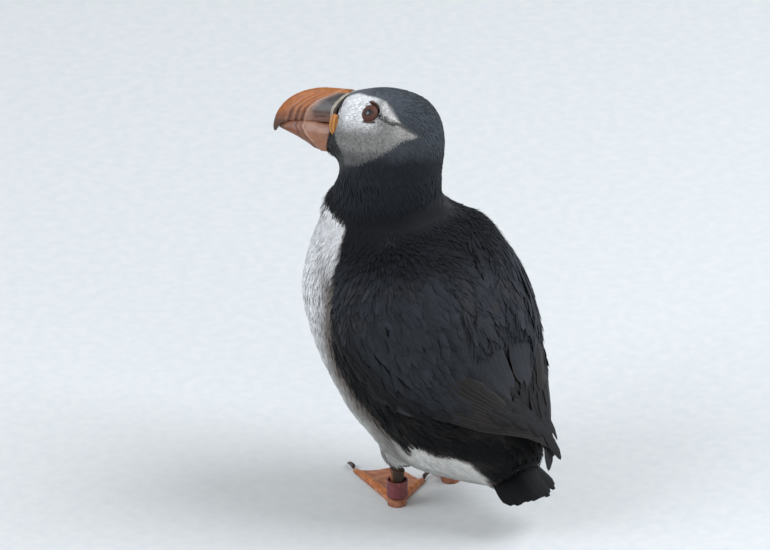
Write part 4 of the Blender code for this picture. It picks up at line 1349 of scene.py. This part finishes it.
def carveBill(obj, grooves, topUp):
    points, normals = pointsOf(obj), normalsOf(obj)
    places = toHead(points)
    ahead = aheadOfRidge(places)
    flank = ease(np.abs((normals @ headAxes)[:, 0]), 0.15, 0.5) * ease(places[:, 1], topUp, topUp - 5)
    move = billSetting["ridgeHigh"] * np.exp(-(ahead / billSetting["ridgeWide"]) ** 2)
    for place, depth, width in grooves:
        move -= depth * np.exp(-((ahead - place) / width) ** 2)
        move += 0.35 * depth * np.exp(-((ahead - place - 1.5) / width) ** 2)
    move += 0.05 * waves(points, 3, 31) - billSetting["nostrilDeep"] * nostrilShare(places)
    movePoints(obj, points + normals * (move * flank)[:, None])


def hornMaterial(name, roughness, pores):
    # layered beak horn: satin, slightly translucent, clouded at 2.6 mm, pores of 0.4 to 0.7 mm
    material, tree, shader = newMaterial(name, {
        "Roughness": roughness, "IOR": 1.54, "Specular IOR Level": 0.5,
        "Coat Weight": 0.12, "Coat Roughness": 0.3, "Subsurface Weight": 0.08,
        "Subsurface Scale": 0.002, "Subsurface Radius": (1.0, 0.5, 0.3),
    })
    coat = addNode(tree, "ShaderNodeAttribute", {"attribute_name": "coat"}).outputs["Color"]
    place = addNode(tree, "ShaderNodeTexCoord").outputs["Object"]
    cloud = addNode(tree, "ShaderNodeTexNoise", {"Scale": 380.0, "Detail": 5.0}, {"Vector": place})
    dust = addNode(tree, "ShaderNodeTexVoronoi", {"Scale": pores}, {"Vector": place})
    stops = [(0.3, "#cfc4bd"), (0.7, "#ffffff")]
    shade = addNode(tree, "ShaderNodeValToRGB", {"stops": stops}, {"Fac": cloud.outputs["Fac"]})
    toned = addNode(tree, "ShaderNodeMix", {**multiply, 0: 0.75}, {6: coat, 7: shade.outputs["Color"]})
    height = {"Height": dust.outputs["Distance"]}
    pits = addNode(tree, "ShaderNodeBump", {"Strength": 0.2, "Distance": 0.0001}, height)
    height = {"Height": cloud.outputs["Fac"], "Normal": pits.outputs["Normal"]}
    lines = addNode(tree, "ShaderNodeBump", {"Strength": 0.35, "Distance": 0.00015}, height)
    linkUp(tree, shader, {"Base Color": toned.outputs[2], "Normal": lines.outputs["Normal"]})
    return material


def remeshedCopy(node, name, voxel, rounds):
    obj = copyOfNodes([node], name)
    applyModifier(obj, "REMESH", mode="VOXEL", voxel_size=voxel * mm)
    applyModifier(obj, "SMOOTH", factor=0.5, iterations=rounds)
    return obj


def buildBill():
    horn = hornMaterial("groovedBeakHorn", 0.42, 2600.0)
    halves = []
    for node, name, grooves, paint, topUp, slot in (
        ("bill_upper", "upperBill", billSetting["upperGrooves"], paintUpper, 21, "bill_horn"),
        ("bill_lower", "lowerBill", billSetting["lowerGrooves"], paintLower, 9, "lower_bill_horn"),
    ):
        half = remeshedCopy(node, name, billSetting["voxel"], billSetting["smoothRounds"])
        settleBill(half, node == "bill_lower")
        carveBill(half, grooves, topUp)
        halves.append(half)
        giveColour(half, paint(pointsOf(half)))
        smoothSurface(half)
        finishPiece(half, horn, slot, node)
    return halves


rimSetting = {
    "halfWidth": 1.0, "high": 0.75, "seam": 0.4, "steps": 144, "minor": 20, "smoothRounds": 12,
    "cream": "#cfc8ba", "creamShade": "#a89f8e", "seamColour": "#5b5246", "edgeColour": "#3c342d",
}


def rimSpot(tree, angle):
    # where the rim's line crosses the head or the bill, looking in from one side
    inward = -headWay(0, math.cos(angle), math.sin(angle))
    forward = 27.0
    for _ in range(10):  # settles on the height and its rim line together
        axis = fromHead((forward, billLine, 0.0))
        hit = tree.ray_cast(Vector(axis - inward * 21), Vector(inward))[0]
        spot = np.array(hit) if hit is not None else axis - inward * 12
        forward = 0.5 * forward + 0.5 * float(rimForward(toHead(spot[None])[0, 1]))
    return spot


def smoothLoop(spots, rounds):
    for _ in range(rounds):
        spots = 0.5 * spots + 0.25 * (np.roll(spots, 1, axis=0) + np.roll(spots, -1, axis=0))
    return spots


def buildRim(halves):
    steps = rimSetting["steps"]
    angles = np.arange(steps) * 2 * math.pi / steps
    whole, bare = treeOf([skin] + halves), treeOf(halves)
    outer = np.array([rimSpot(whole, angle) for angle in angles])
    close = np.array([rimSpot(bare, angle) for angle in angles])
    path = mix(outer, close, ease(np.cos(angles), -0.05, -0.45))  # hugs the lower half's base
    path = smoothLoop(path, rimSetting["smoothRounds"])
    along = unit(np.roll(path, -1, axis=0) - np.roll(path, 1, axis=0))
    out = path - fromHead((24.0, billLine, 0.0))
    out = unit(out - (out * along).sum(axis=1, keepdims=True) * along)
    across = np.cross(along, out)
    deselectAll()
    bpy.ops.mesh.primitive_torus_add(
        major_segments=steps, minor_segments=rimSetting["minor"], major_radius=1, minor_radius=0.25,
    )
    rim = bpy.context.object
    rim.name = "creamRim"
    shape = pointsOf(rim) * mm
    major = np.round(np.arctan2(shape[:, 1], shape[:, 0]) / (2 * math.pi) * steps).astype(int) % steps
    minor = np.arctan2(shape[:, 2], np.hypot(shape[:, 0], shape[:, 1]) - 1)
    up = toHead(path)[:, 1][major]
    width = rimSetting["halfWidth"] * (1 - 0.35 * ease(up, 17, 22) - 0.45 * ease(up, 0, -6))
    seam = np.exp(-(np.cos(minor) / 0.3) ** 2) * (np.sin(minor) > 0)
    high = rimSetting["high"] * (np.sin(minor) + 0.15) - rimSetting["seam"] * seam
    high *= 1 - 0.35 * ease(up, 17, 22) - 0.5 * ease(up, 0, -6)
    spots = path[major] + across[major] * (width * np.cos(minor))[:, None] + out[major] * high[:, None]
    movePoints(rim, spots)
    cream, creamShade = linear(rimSetting["cream"]), linear(rimSetting["creamShade"])
    colour = mix(creamShade, cream, ease(waves(spots, 2.2, 33), -0.8, 0.8))
    colour = mix(colour, linear(rimSetting["seamColour"]), 0.85 * seam)
    edge = ease(np.abs(np.cos(minor)), 0.85, 0.99)
    giveColour(rim, mix(colour, linear(rimSetting["edgeColour"]), 0.7 * edge))
    turnOutwards(rim)
    smoothSurface(rim)
    finishPiece(rim, hornMaterial("creamRimHorn", 0.5, 1500.0), "ridge_horn", "bill_ridge")


buildRim(buildBill())
tell("bill ready")


# Gape rosettes: soft orange skin in upright wrinkles at the corners of the mouth.
rosette = {
    "fold": 2.3, "deep": 0.22, "back": 1.7, "voxel": 0.3,
    "crest": "#b57a38", "furrow": "#8a5622", "ends": "#a4632c",
}


def gapeSkin():
    # soft bare skin at the mouth's corner: moist, a little translucent, grained at 0.7 mm
    material, tree, shader = newMaterial("wrinkledGapeSkin", {
        "Roughness": 0.48, "Specular IOR Level": 0.45, "Subsurface Weight": 0.15,
        "Subsurface Scale": 0.0015, "Subsurface Radius": (1.0, 0.45, 0.2),
    })
    coat = addNode(tree, "ShaderNodeAttribute", {"attribute_name": "coat"}).outputs["Color"]
    place = addNode(tree, "ShaderNodeTexCoord").outputs["Object"]
    grain = addNode(tree, "ShaderNodeTexNoise", {"Scale": 1400.0, "Detail": 3.0}, {"Vector": place})
    height = {"Height": grain.outputs["Fac"]}
    bump = addNode(tree, "ShaderNodeBump", {"Strength": 0.4, "Distance": 0.0002}, height)
    linkUp(tree, shader, {"Base Color": coat, "Normal": bump.outputs["Normal"]})
    return material


def buildRosettes():
    material = gapeSkin()
    for side in ("left", "right"):
        node = f"gape_{side}"
        obj = remeshedCopy(node, f"rosette_{side}", rosette["voxel"], 3)
        points, normals = pointsOf(obj), normalsOf(obj)
        places = toHead(points)
        places[:, 0] -= rosette["back"]
        points = fromHead(places)
        rel = places - places.mean(axis=0)
        bow = rel[:, 0] + 0.05 * rel[:, 1] ** 2
        fold = np.cos(bow * 2 * math.pi / rosette["fold"] + 0.5 * np.sin(rel[:, 1]))
        edge = ease(np.abs(rel[:, 1]), 6, 3.5)
        movePoints(obj, points + normals * (rosette["deep"] * (fold * edge - 0.3))[:, None])
        colour = mix(linear(rosette["furrow"]), linear(rosette["crest"]), ease(fold, -0.9, 0.5))
        giveColour(obj, mix(colour, linear(rosette["ends"]), ease(np.abs(rel[:, 1]), 3.5, 6)))
        smoothSurface(obj)
        finishPiece(obj, material, "gape_skin", node)


buildRosettes()


# Eyes: moist globe, dark iris and pupil, a red-brown rim of bare skin and horny plates.
eyeSetting = {
    "globe": 4.4, "corneaBulge": 0.05, "sunk": 15.4, "swell": 1.1,
    "ringRadius": 3.0, "ringThick": 0.45, "lidReach": 3.9, "upperLid": 0.36, "lowerLid": 0.2,
    "plateThick": 0.9, "plateLift": 0.15,
}


def eyeAxes(side):
    # unit ways forward, up and out of the eye, square to the cheek, and the eyeball's middle
    place = fromHead((eyePlace["forward"], eyePlace["up"], side * (eyeSetting["sunk"] + 4)))
    away = np.linalg.norm(skinPoints - place, axis=1)
    cheek = (away < 10) & (eyeDistance(toHead(skinPoints)) > 6)
    out = unit(skinNormals[cheek].mean(axis=0))
    level = ((skinPoints[cheek] - place) @ out).mean() + eyeSetting["swell"]
    up = headWay(0, 1, 0)
    up = unit(up - (up @ out) * out)
    forward = np.cross(up, out) * side
    depth = math.sqrt(eyeSetting["globe"] ** 2 - eyeSetting["ringRadius"] ** 2)
    return (forward, up, out), place + out * (level - depth)


def eyeMaterial():
    # wet cornea over brown iris: clear coat for the catchlight, dark round pupil, flecks of 0.4 mm
    material, tree, shader = newMaterial("wetEye", {
        "Roughness": 0.3, "IOR": 1.38, "Coat Weight": 0.6, "Coat Roughness": 0.14,
    })
    gaze = addNode(tree, "ShaderNodeAttribute", {"attribute_name": "gaze"}).outputs["Fac"]
    place = addNode(tree, "ShaderNodeTexCoord").outputs["Object"]
    fleck = addNode(tree, "ShaderNodeTexNoise", {"Scale": 2400.0, "Detail": 3.0}, {"Vector": place})
    flecked = {0: fleck.outputs["Fac"], 2: gaze}
    soft = addNode(tree, "ShaderNodeMath", {"operation": "MULTIPLY_ADD", 1: 0.03}, flecked)
    stops = [(0.27, "#050505"), (0.31, "#24150e"), (0.46, "#2f1c13"), (0.56, "#180f0b"), (0.62, "#0c0908")]
    colour = addNode(tree, "ShaderNodeValToRGB", {"stops": stops}, {"Fac": soft.outputs[0]})
    linkUp(tree, shader, {"Base Color": colour.outputs["Color"]})
    return material


def rimMaterial(name, first, second):
    # bare eyelid skin and horny plates: beads of 0.45 mm, dull
    material, tree, shader = newMaterial(name, {"Roughness": 0.55, "Specular IOR Level": 0.35})
    place = addNode(tree, "ShaderNodeTexCoord").outputs["Object"]
    beads = addNode(tree, "ShaderNodeTexVoronoi", {"Scale": 2200.0}, {"Vector": place}).outputs["Distance"]
    stops = [(0.1, first), (0.6, second)]
    colour = addNode(tree, "ShaderNodeValToRGB", {"stops": stops}, {"Fac": beads})
    raised = {"Strength": 0.5, "Distance": 0.0002, "invert": True}
    bump = addNode(tree, "ShaderNodeBump", raised, {"Height": beads})
    linkUp(tree, shader, {"Base Color": colour.outputs["Color"], "Normal": bump.outputs["Normal"]})
    return material


def placeByAxes(obj, middle, axes):
    # turns a piece made at the origin (x forward, y up, z out) into its place in the mesh
    points = pointsOf(obj)
    forward, up, out = axes
    movePoints(obj, middle + points[:, :1] * forward + points[:, 1:2] * up + points[:, 2:] * out)
    obj.location = (0, 0, 0)
    turnOutwards(obj)


def buildPlate(name, axes, surface, outline, thick, material):
    # a small horny plate on the cheek: a domed pad bent to the skin
    deselectAll()
    bpy.ops.mesh.primitive_grid_add(x_subdivisions=14, y_subdivisions=10, size=2)
    plate = bpy.context.object
    plate.name = name
    plate.scale = (1000, 1000, 1)
    points = pointsOf(plate) * mm
    shares = points[:, :2].copy()
    places = outline(shares[:, 0], shares[:, 1])
    forward, up, out = axes
    flat = surface + places[:, :1] * forward + places[:, 1:] * up
    high = 1 - np.maximum(np.abs(shares[:, 0]), np.abs(shares[:, 1])) ** 4
    lifted = []
    for spot, rise in zip(flat, high):
        hit = skinTree.ray_cast(Vector(spot + out * 12), Vector(-out))
        base = np.array(hit[0]) if hit[0] is not None else spot
        lifted.append(base + out * (eyeSetting["plateLift"] + thick * rise))
    plate.scale = (1, 1, 1)
    movePoints(plate, np.array(lifted))
    applyModifier(plate, "SOLIDIFY", thickness=eyeSetting["plateThick"] * mm, offset=-1)
    turnOutwards(plate)
    smoothSurface(plate)
    finishPiece(plate, material, "face_feathers")


def upperPlate(x, y):
    # three-cornered, narrowing upwards
    width = 2.2 * (1 - 0.7 * (y + 1) / 2)
    return np.stack([x * width - 0.4 * (y + 1), 4.0 + (y + 1) * 1.5], axis=1)


def lowerPlate(x, y):
    # a long low bar under the eye
    return np.stack([x * 3.4 + 0.3, -4.6 + y * 0.65 + 0.35 * x * x], axis=1)


def buildGlobe(sideName, axes, middle, look):
    deselectAll()
    bpy.ops.mesh.primitive_uv_sphere_add(segments=48, ring_count=32, radius=eyeSetting["globe"] * mm)
    globe = bpy.context.object
    globe.name = f"eyeball_{sideName}"
    points = pointsOf(globe)
    bulge = 1 + eyeSetting["corneaBulge"] * ease(points[:, 2] / eyeSetting["globe"], 0.7, 1.0)
    movePoints(globe, points * bulge[:, None])
    giveNumber(globe, np.arccos(np.clip(points[:, 2] / eyeSetting["globe"], -1, 1)), "gaze")
    placeByAxes(globe, middle, axes)
    smoothSurface(globe)
    finishPiece(globe, look, "face_feathers", f"eye_{sideName}")


def buildLid(sideName, axes, middle, look):
    # a ring of bare skin over the globe, drawn in above and below, its outer edge lying on the cheek
    deselectAll()
    bpy.ops.mesh.primitive_torus_add(
        major_segments=72, minor_segments=16, major_radius=eyeSetting["ringRadius"] * mm,
        minor_radius=eyeSetting["ringThick"] * mm,
    )
    ring = bpy.context.object
    ring.name = f"eyeRim_{sideName}"
    points = pointsOf(ring)
    angle = np.arctan2(points[:, 1], points[:, 0])
    radius = np.hypot(points[:, 0], points[:, 1])
    above, below = np.clip(np.sin(angle + 0.25), 0, 1), np.clip(-np.sin(angle), 0, 1)
    lid = 1 - eyeSetting["upperLid"] * above - eyeSetting["lowerLid"] * below
    lid += 0.012 * np.sin(angle * 26)  # fine wrinkles round the edge
    inner = eyeSetting["ringRadius"] * lid
    outer = np.clip((radius - eyeSetting["ringRadius"]) / eyeSetting["ringThick"], 0, 1)
    spread = outer ** 1.5 * (eyeSetting["lidReach"] - inner) + radius - eyeSetting["ringRadius"]
    points[:, :2] *= ((inner + spread) / radius)[:, None]
    rise = np.sqrt(eyeSetting["globe"] ** 2 - inner ** 2) * (1 - 0.34 * outer ** 1.5)
    points[:, 2] = points[:, 2] * 0.8 + rise + 0.1
    movePoints(ring, points)
    placeByAxes(ring, middle, axes)
    smoothSurface(ring)
    finishPiece(ring, look, "face_feathers")


def buildEyes():
    globeLook = eyeMaterial()
    rimLook = rimMaterial("bareEyeRim", "#6d3c2b", "#42241b")
    plateLook = rimMaterial("eyePlateHorn", "#6a4a3e", "#3f2c25")
    depth = math.sqrt(eyeSetting["globe"] ** 2 - eyeSetting["ringRadius"] ** 2)
    for side, sideName in ((1, "left"), (-1, "right")):
        axes, middle = eyeAxes(side)
        buildGlobe(sideName, axes, middle, globeLook)
        buildLid(sideName, axes, middle, rimLook)
        surface = middle + axes[2] * depth
        buildPlate(f"upperEyePlate_{sideName}", axes, surface, upperPlate, 0.5, plateLook)
        buildPlate(f"lowerEyePlate_{sideName}", axes, surface, lowerPlate, 0.45, plateLook)


buildEyes()
tell("eyes ready")


# Feet, shanks and claws.
footSetting = {
    "voxel": 0.6, "scute": 1.35, "scuteDeep": 0.07, "webTop": 1.5, "crumple": 0.16,
    "toes": ("#bb6a2c", "#de8c45"), "web": ("#b4704a", "#cc8f66"), "toeEnds": "#9a5226", "heel": "#8c5a4c",
}
# the shank's dark back colour is painted shade from the body above; its front colour is the shank's own
# orange
shankSetting = {"voxel": 0.45, "row": 1.5, "rowDeep": 0.1, "behind": "#3b2a1b", "front": "#a0603a"}


def webbedSkin():
    # leathery foot skin: satin, with plates of 1 mm and colour clouded at 3 mm
    material, tree, shader = newMaterial("webbedFootSkin", {
        "Roughness": 0.5, "Specular IOR Level": 0.4, "Subsurface Weight": 0.1,
        "Subsurface Scale": 0.0015, "Subsurface Radius": (1.0, 0.4, 0.2),
    })
    coat = addNode(tree, "ShaderNodeAttribute", {"attribute_name": "coat"}).outputs["Color"]
    place = addNode(tree, "ShaderNodeTexCoord").outputs["Object"]
    plates = {"Scale": 1000.0, "feature": "DISTANCE_TO_EDGE"}
    cells = addNode(tree, "ShaderNodeTexVoronoi", plates, {"Vector": place}).outputs["Distance"]
    cloud = addNode(tree, "ShaderNodeTexNoise", {"Scale": 300.0, "Detail": 4.0}, {"Vector": place})
    stops = [(0.0, "#a08a80"), (0.12, "#ffffff")]
    gaps = addNode(tree, "ShaderNodeValToRGB", {"stops": stops}, {"Fac": cells}).outputs["Color"]
    stops = [(0.3, "#c8b8b0"), (0.7, "#ffffff")]
    clouded = addNode(tree, "ShaderNodeValToRGB", {"stops": stops}, {"Fac": cloud.outputs["Fac"]})
    plated = addNode(tree, "ShaderNodeMix", {**multiply, 0: 0.6}, {6: coat, 7: gaps}).outputs[2]
    toned = addNode(tree, "ShaderNodeMix", {**multiply, 0: 0.8}, {6: plated, 7: clouded.outputs["Color"]})
    bump = addNode(tree, "ShaderNodeBump", {"Strength": 0.45, "Distance": 0.0002}, {"Height": cells})
    linkUp(tree, shader, {"Base Color": toned.outputs[2], "Normal": bump.outputs["Normal"]})
    return material


def mottled(points, colours, size, seed):
    return mix(linear(colours[0]), linear(colours[1]), ease(waves(points, size, seed), -0.7, 0.7))


def buildFoot(side, look):
    low, high = (np.array(corner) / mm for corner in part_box(f"leg_{side}"))
    ankle = (low + high) / 2
    foot = remeshedCopy(f"foot_{side}", f"webbedFoot_{side}", footSetting["voxel"], 3)
    points, normals = pointsOf(foot), normalsOf(foot)
    reach = np.hypot(points[:, 0] - ankle[0], points[:, 1] - ankle[1])
    onToe = ease(points[:, 2], footSetting["webTop"], 2.4)
    top = ease(normals[:, 2], 0.1, 0.6)
    plates = np.abs(np.sin(reach * math.pi / footSetting["scute"])) - 0.6  # about its mean, to keep the level
    move = onToe * ease(reach, 4, 8) * top * footSetting["scuteDeep"] * plates
    web = (1 - onToe) * top * ease(reach, 6, 12)
    move += web * footSetting["crumple"] * waves(points, 6, 51)
    movePoints(foot, points + normals * move[:, None])
    toeColour = mottled(points, footSetting["toes"], 5, 52)
    webColour = mottled(points, footSetting["web"], 7, 53)
    colour = mix(webColour, toeColour, ease(points[:, 2], footSetting["webTop"], 2.6))
    colour = mix(colour, linear(footSetting["toeEnds"]), 0.2 * ease(reach, 30, 42))
    giveColour(foot, mix(colour, linear(footSetting["heel"]), 0.7 * ease(reach, 7, 4)))
    smoothSurface(foot)
    finishPiece(foot, look, "foot_skin", f"foot_{side}")


def buildShank(side, look):
    shank = remeshedCopy(f"leg_{side}", f"shank_{side}", shankSetting["voxel"], 4)
    points, normals = pointsOf(shank), normalsOf(shank)
    rows = np.abs(np.sin(points[:, 2] * math.pi / shankSetting["row"]))
    # how far each point faces forward: the side facing back gets the painted shade
    front = ease(normals[:, 1], 0.2, -0.5)
    movePoints(shank, points + normals * (shankSetting["rowDeep"] * front * (rows - 0.6))[:, None])
    colour = mix(linear(shankSetting["behind"]), linear(shankSetting["front"]), front)
    giveColour(shank, mix(linear(footSetting["heel"]), colour, ease(points[:, 2], 4.5, 9)))
    smoothSurface(shank)
    finishPiece(shank, look, "shank_skin", f"leg_{side}")


def buildFeet():
    skinLook = webbedSkin()
    for side in ("left", "right"):
        buildFoot(side, skinLook)
        buildShank(side, skinLook)


def clawHorn():
    # dark worn claw keratin: satin, mottled brown-black at about 1 mm
    material, tree, shader = newMaterial("wornClawHorn", {"Roughness": 0.38, "IOR": 1.54})
    place = addNode(tree, "ShaderNodeTexCoord").outputs["Object"]
    streak = addNode(tree, "ShaderNodeTexNoise", {"Scale": 900.0, "Detail": 4.0}, {"Vector": place})
    streak = streak.outputs["Fac"]
    stops = [(0.35, "#1d1714"), (0.7, "#54463c")]
    colour = addNode(tree, "ShaderNodeValToRGB", {"stops": stops}, {"Fac": streak})
    bump = addNode(tree, "ShaderNodeBump", {"Strength": 0.3, "Distance": 0.0001}, {"Height": streak})
    linkUp(tree, shader, {"Base Color": colour.outputs["Color"], "Normal": bump.outputs["Normal"]})
    return material


def buildClaws():
    horn = clawHorn()
    for side in ("left", "right"):
        for toe in ("inner", "middle", "outer"):
            claw = copyOfNodes([f"claw_{side}_{toe}"], f"clawHorn_{side}_{toe}")
            applyModifier(claw, "SUBSURF", levels=2, render_levels=2)
            smoothSurface(claw)
            finishPiece(claw, horn, "claw_horn", f"claw_{side}_{toe}")


# Leg ring: a strip of maroon plastic wrapped once round the left shank with overlapping ends.
ringSetting = {"thick": 0.9, "turns": 1.12, "steps": 96, "startAngle": 200, "inset": 0.05, "bevel": 0.14}


def ringPlastic():
    # moulded coloured plastic, weathered: satin with chalky scuffs of about 2 mm
    material, tree, shader = newMaterial("weatheredPlastic", {"Roughness": 0.45, "IOR": 1.49})
    place = addNode(tree, "ShaderNodeTexCoord").outputs["Object"]
    cloudy = {"Scale": 520.0, "Detail": 6.0, "Roughness": 0.7}
    scuff = addNode(tree, "ShaderNodeTexNoise", cloudy, {"Vector": place}).outputs["Fac"]
    stops = [(0.35, "#5a2629"), (0.55, "#703236"), (0.78, "#8a5355")]
    colour = addNode(tree, "ShaderNodeValToRGB", {"stops": stops}, {"Fac": scuff})
    rough = addNode(tree, "ShaderNodeMapRange", {"To Min": 0.35, "To Max": 0.7}, {"Value": scuff})
    bump = addNode(tree, "ShaderNodeBump", {"Strength": 0.3, "Distance": 0.0001}, {"Height": scuff})
    linkUp(tree, shader, {
        "Base Color": colour.outputs["Color"], "Roughness": rough.outputs["Result"],
        "Normal": bump.outputs["Normal"],
    })
    return material


def buildLegRing():
    low, high = (np.array(corner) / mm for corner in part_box("leg_ring"))
    middle, radius = (low + high) / 2, (high[0] - low[0]) / 2
    steps, turns = ringSetting["steps"], ringSetting["turns"]
    deselectAll()
    bpy.ops.mesh.primitive_grid_add(x_subdivisions=steps, y_subdivisions=8, size=2)
    ring = bpy.context.object
    ring.name = "ringOnLeg"
    shares = pointsOf(ring) * mm
    along = (shares[:, 0] + 1) / 2
    angle = along * turns * 2 * math.pi + math.radians(ringSetting["startAngle"])
    reach = radius - ringSetting["thick"] * 0.5 * (1 + ease(along, 0.55, 0.05)) - ringSetting["inset"]
    height = shares[:, 1] * (high[2] - low[2]) / 2
    movePoints(ring, np.stack([
        middle[0] + np.cos(angle) * reach, middle[1] + np.sin(angle) * reach, middle[2] + height,
    ], axis=1))
    applyModifier(ring, "SOLIDIFY", thickness=ringSetting["thick"] * 0.8 * mm, offset=0)
    applyModifier(ring, "BEVEL", width=ringSetting["bevel"] * mm, segments=2, limit_method="ANGLE")
    turnOutwards(ring)
    choose(ring)
    bpy.ops.object.shade_smooth_by_angle(angle=math.radians(40))
    finishPiece(ring, ringPlastic(), "ring_plastic", "leg_ring")


buildFeet()
buildClaws()
buildLegRing()
tell("feet, claws and ring ready")
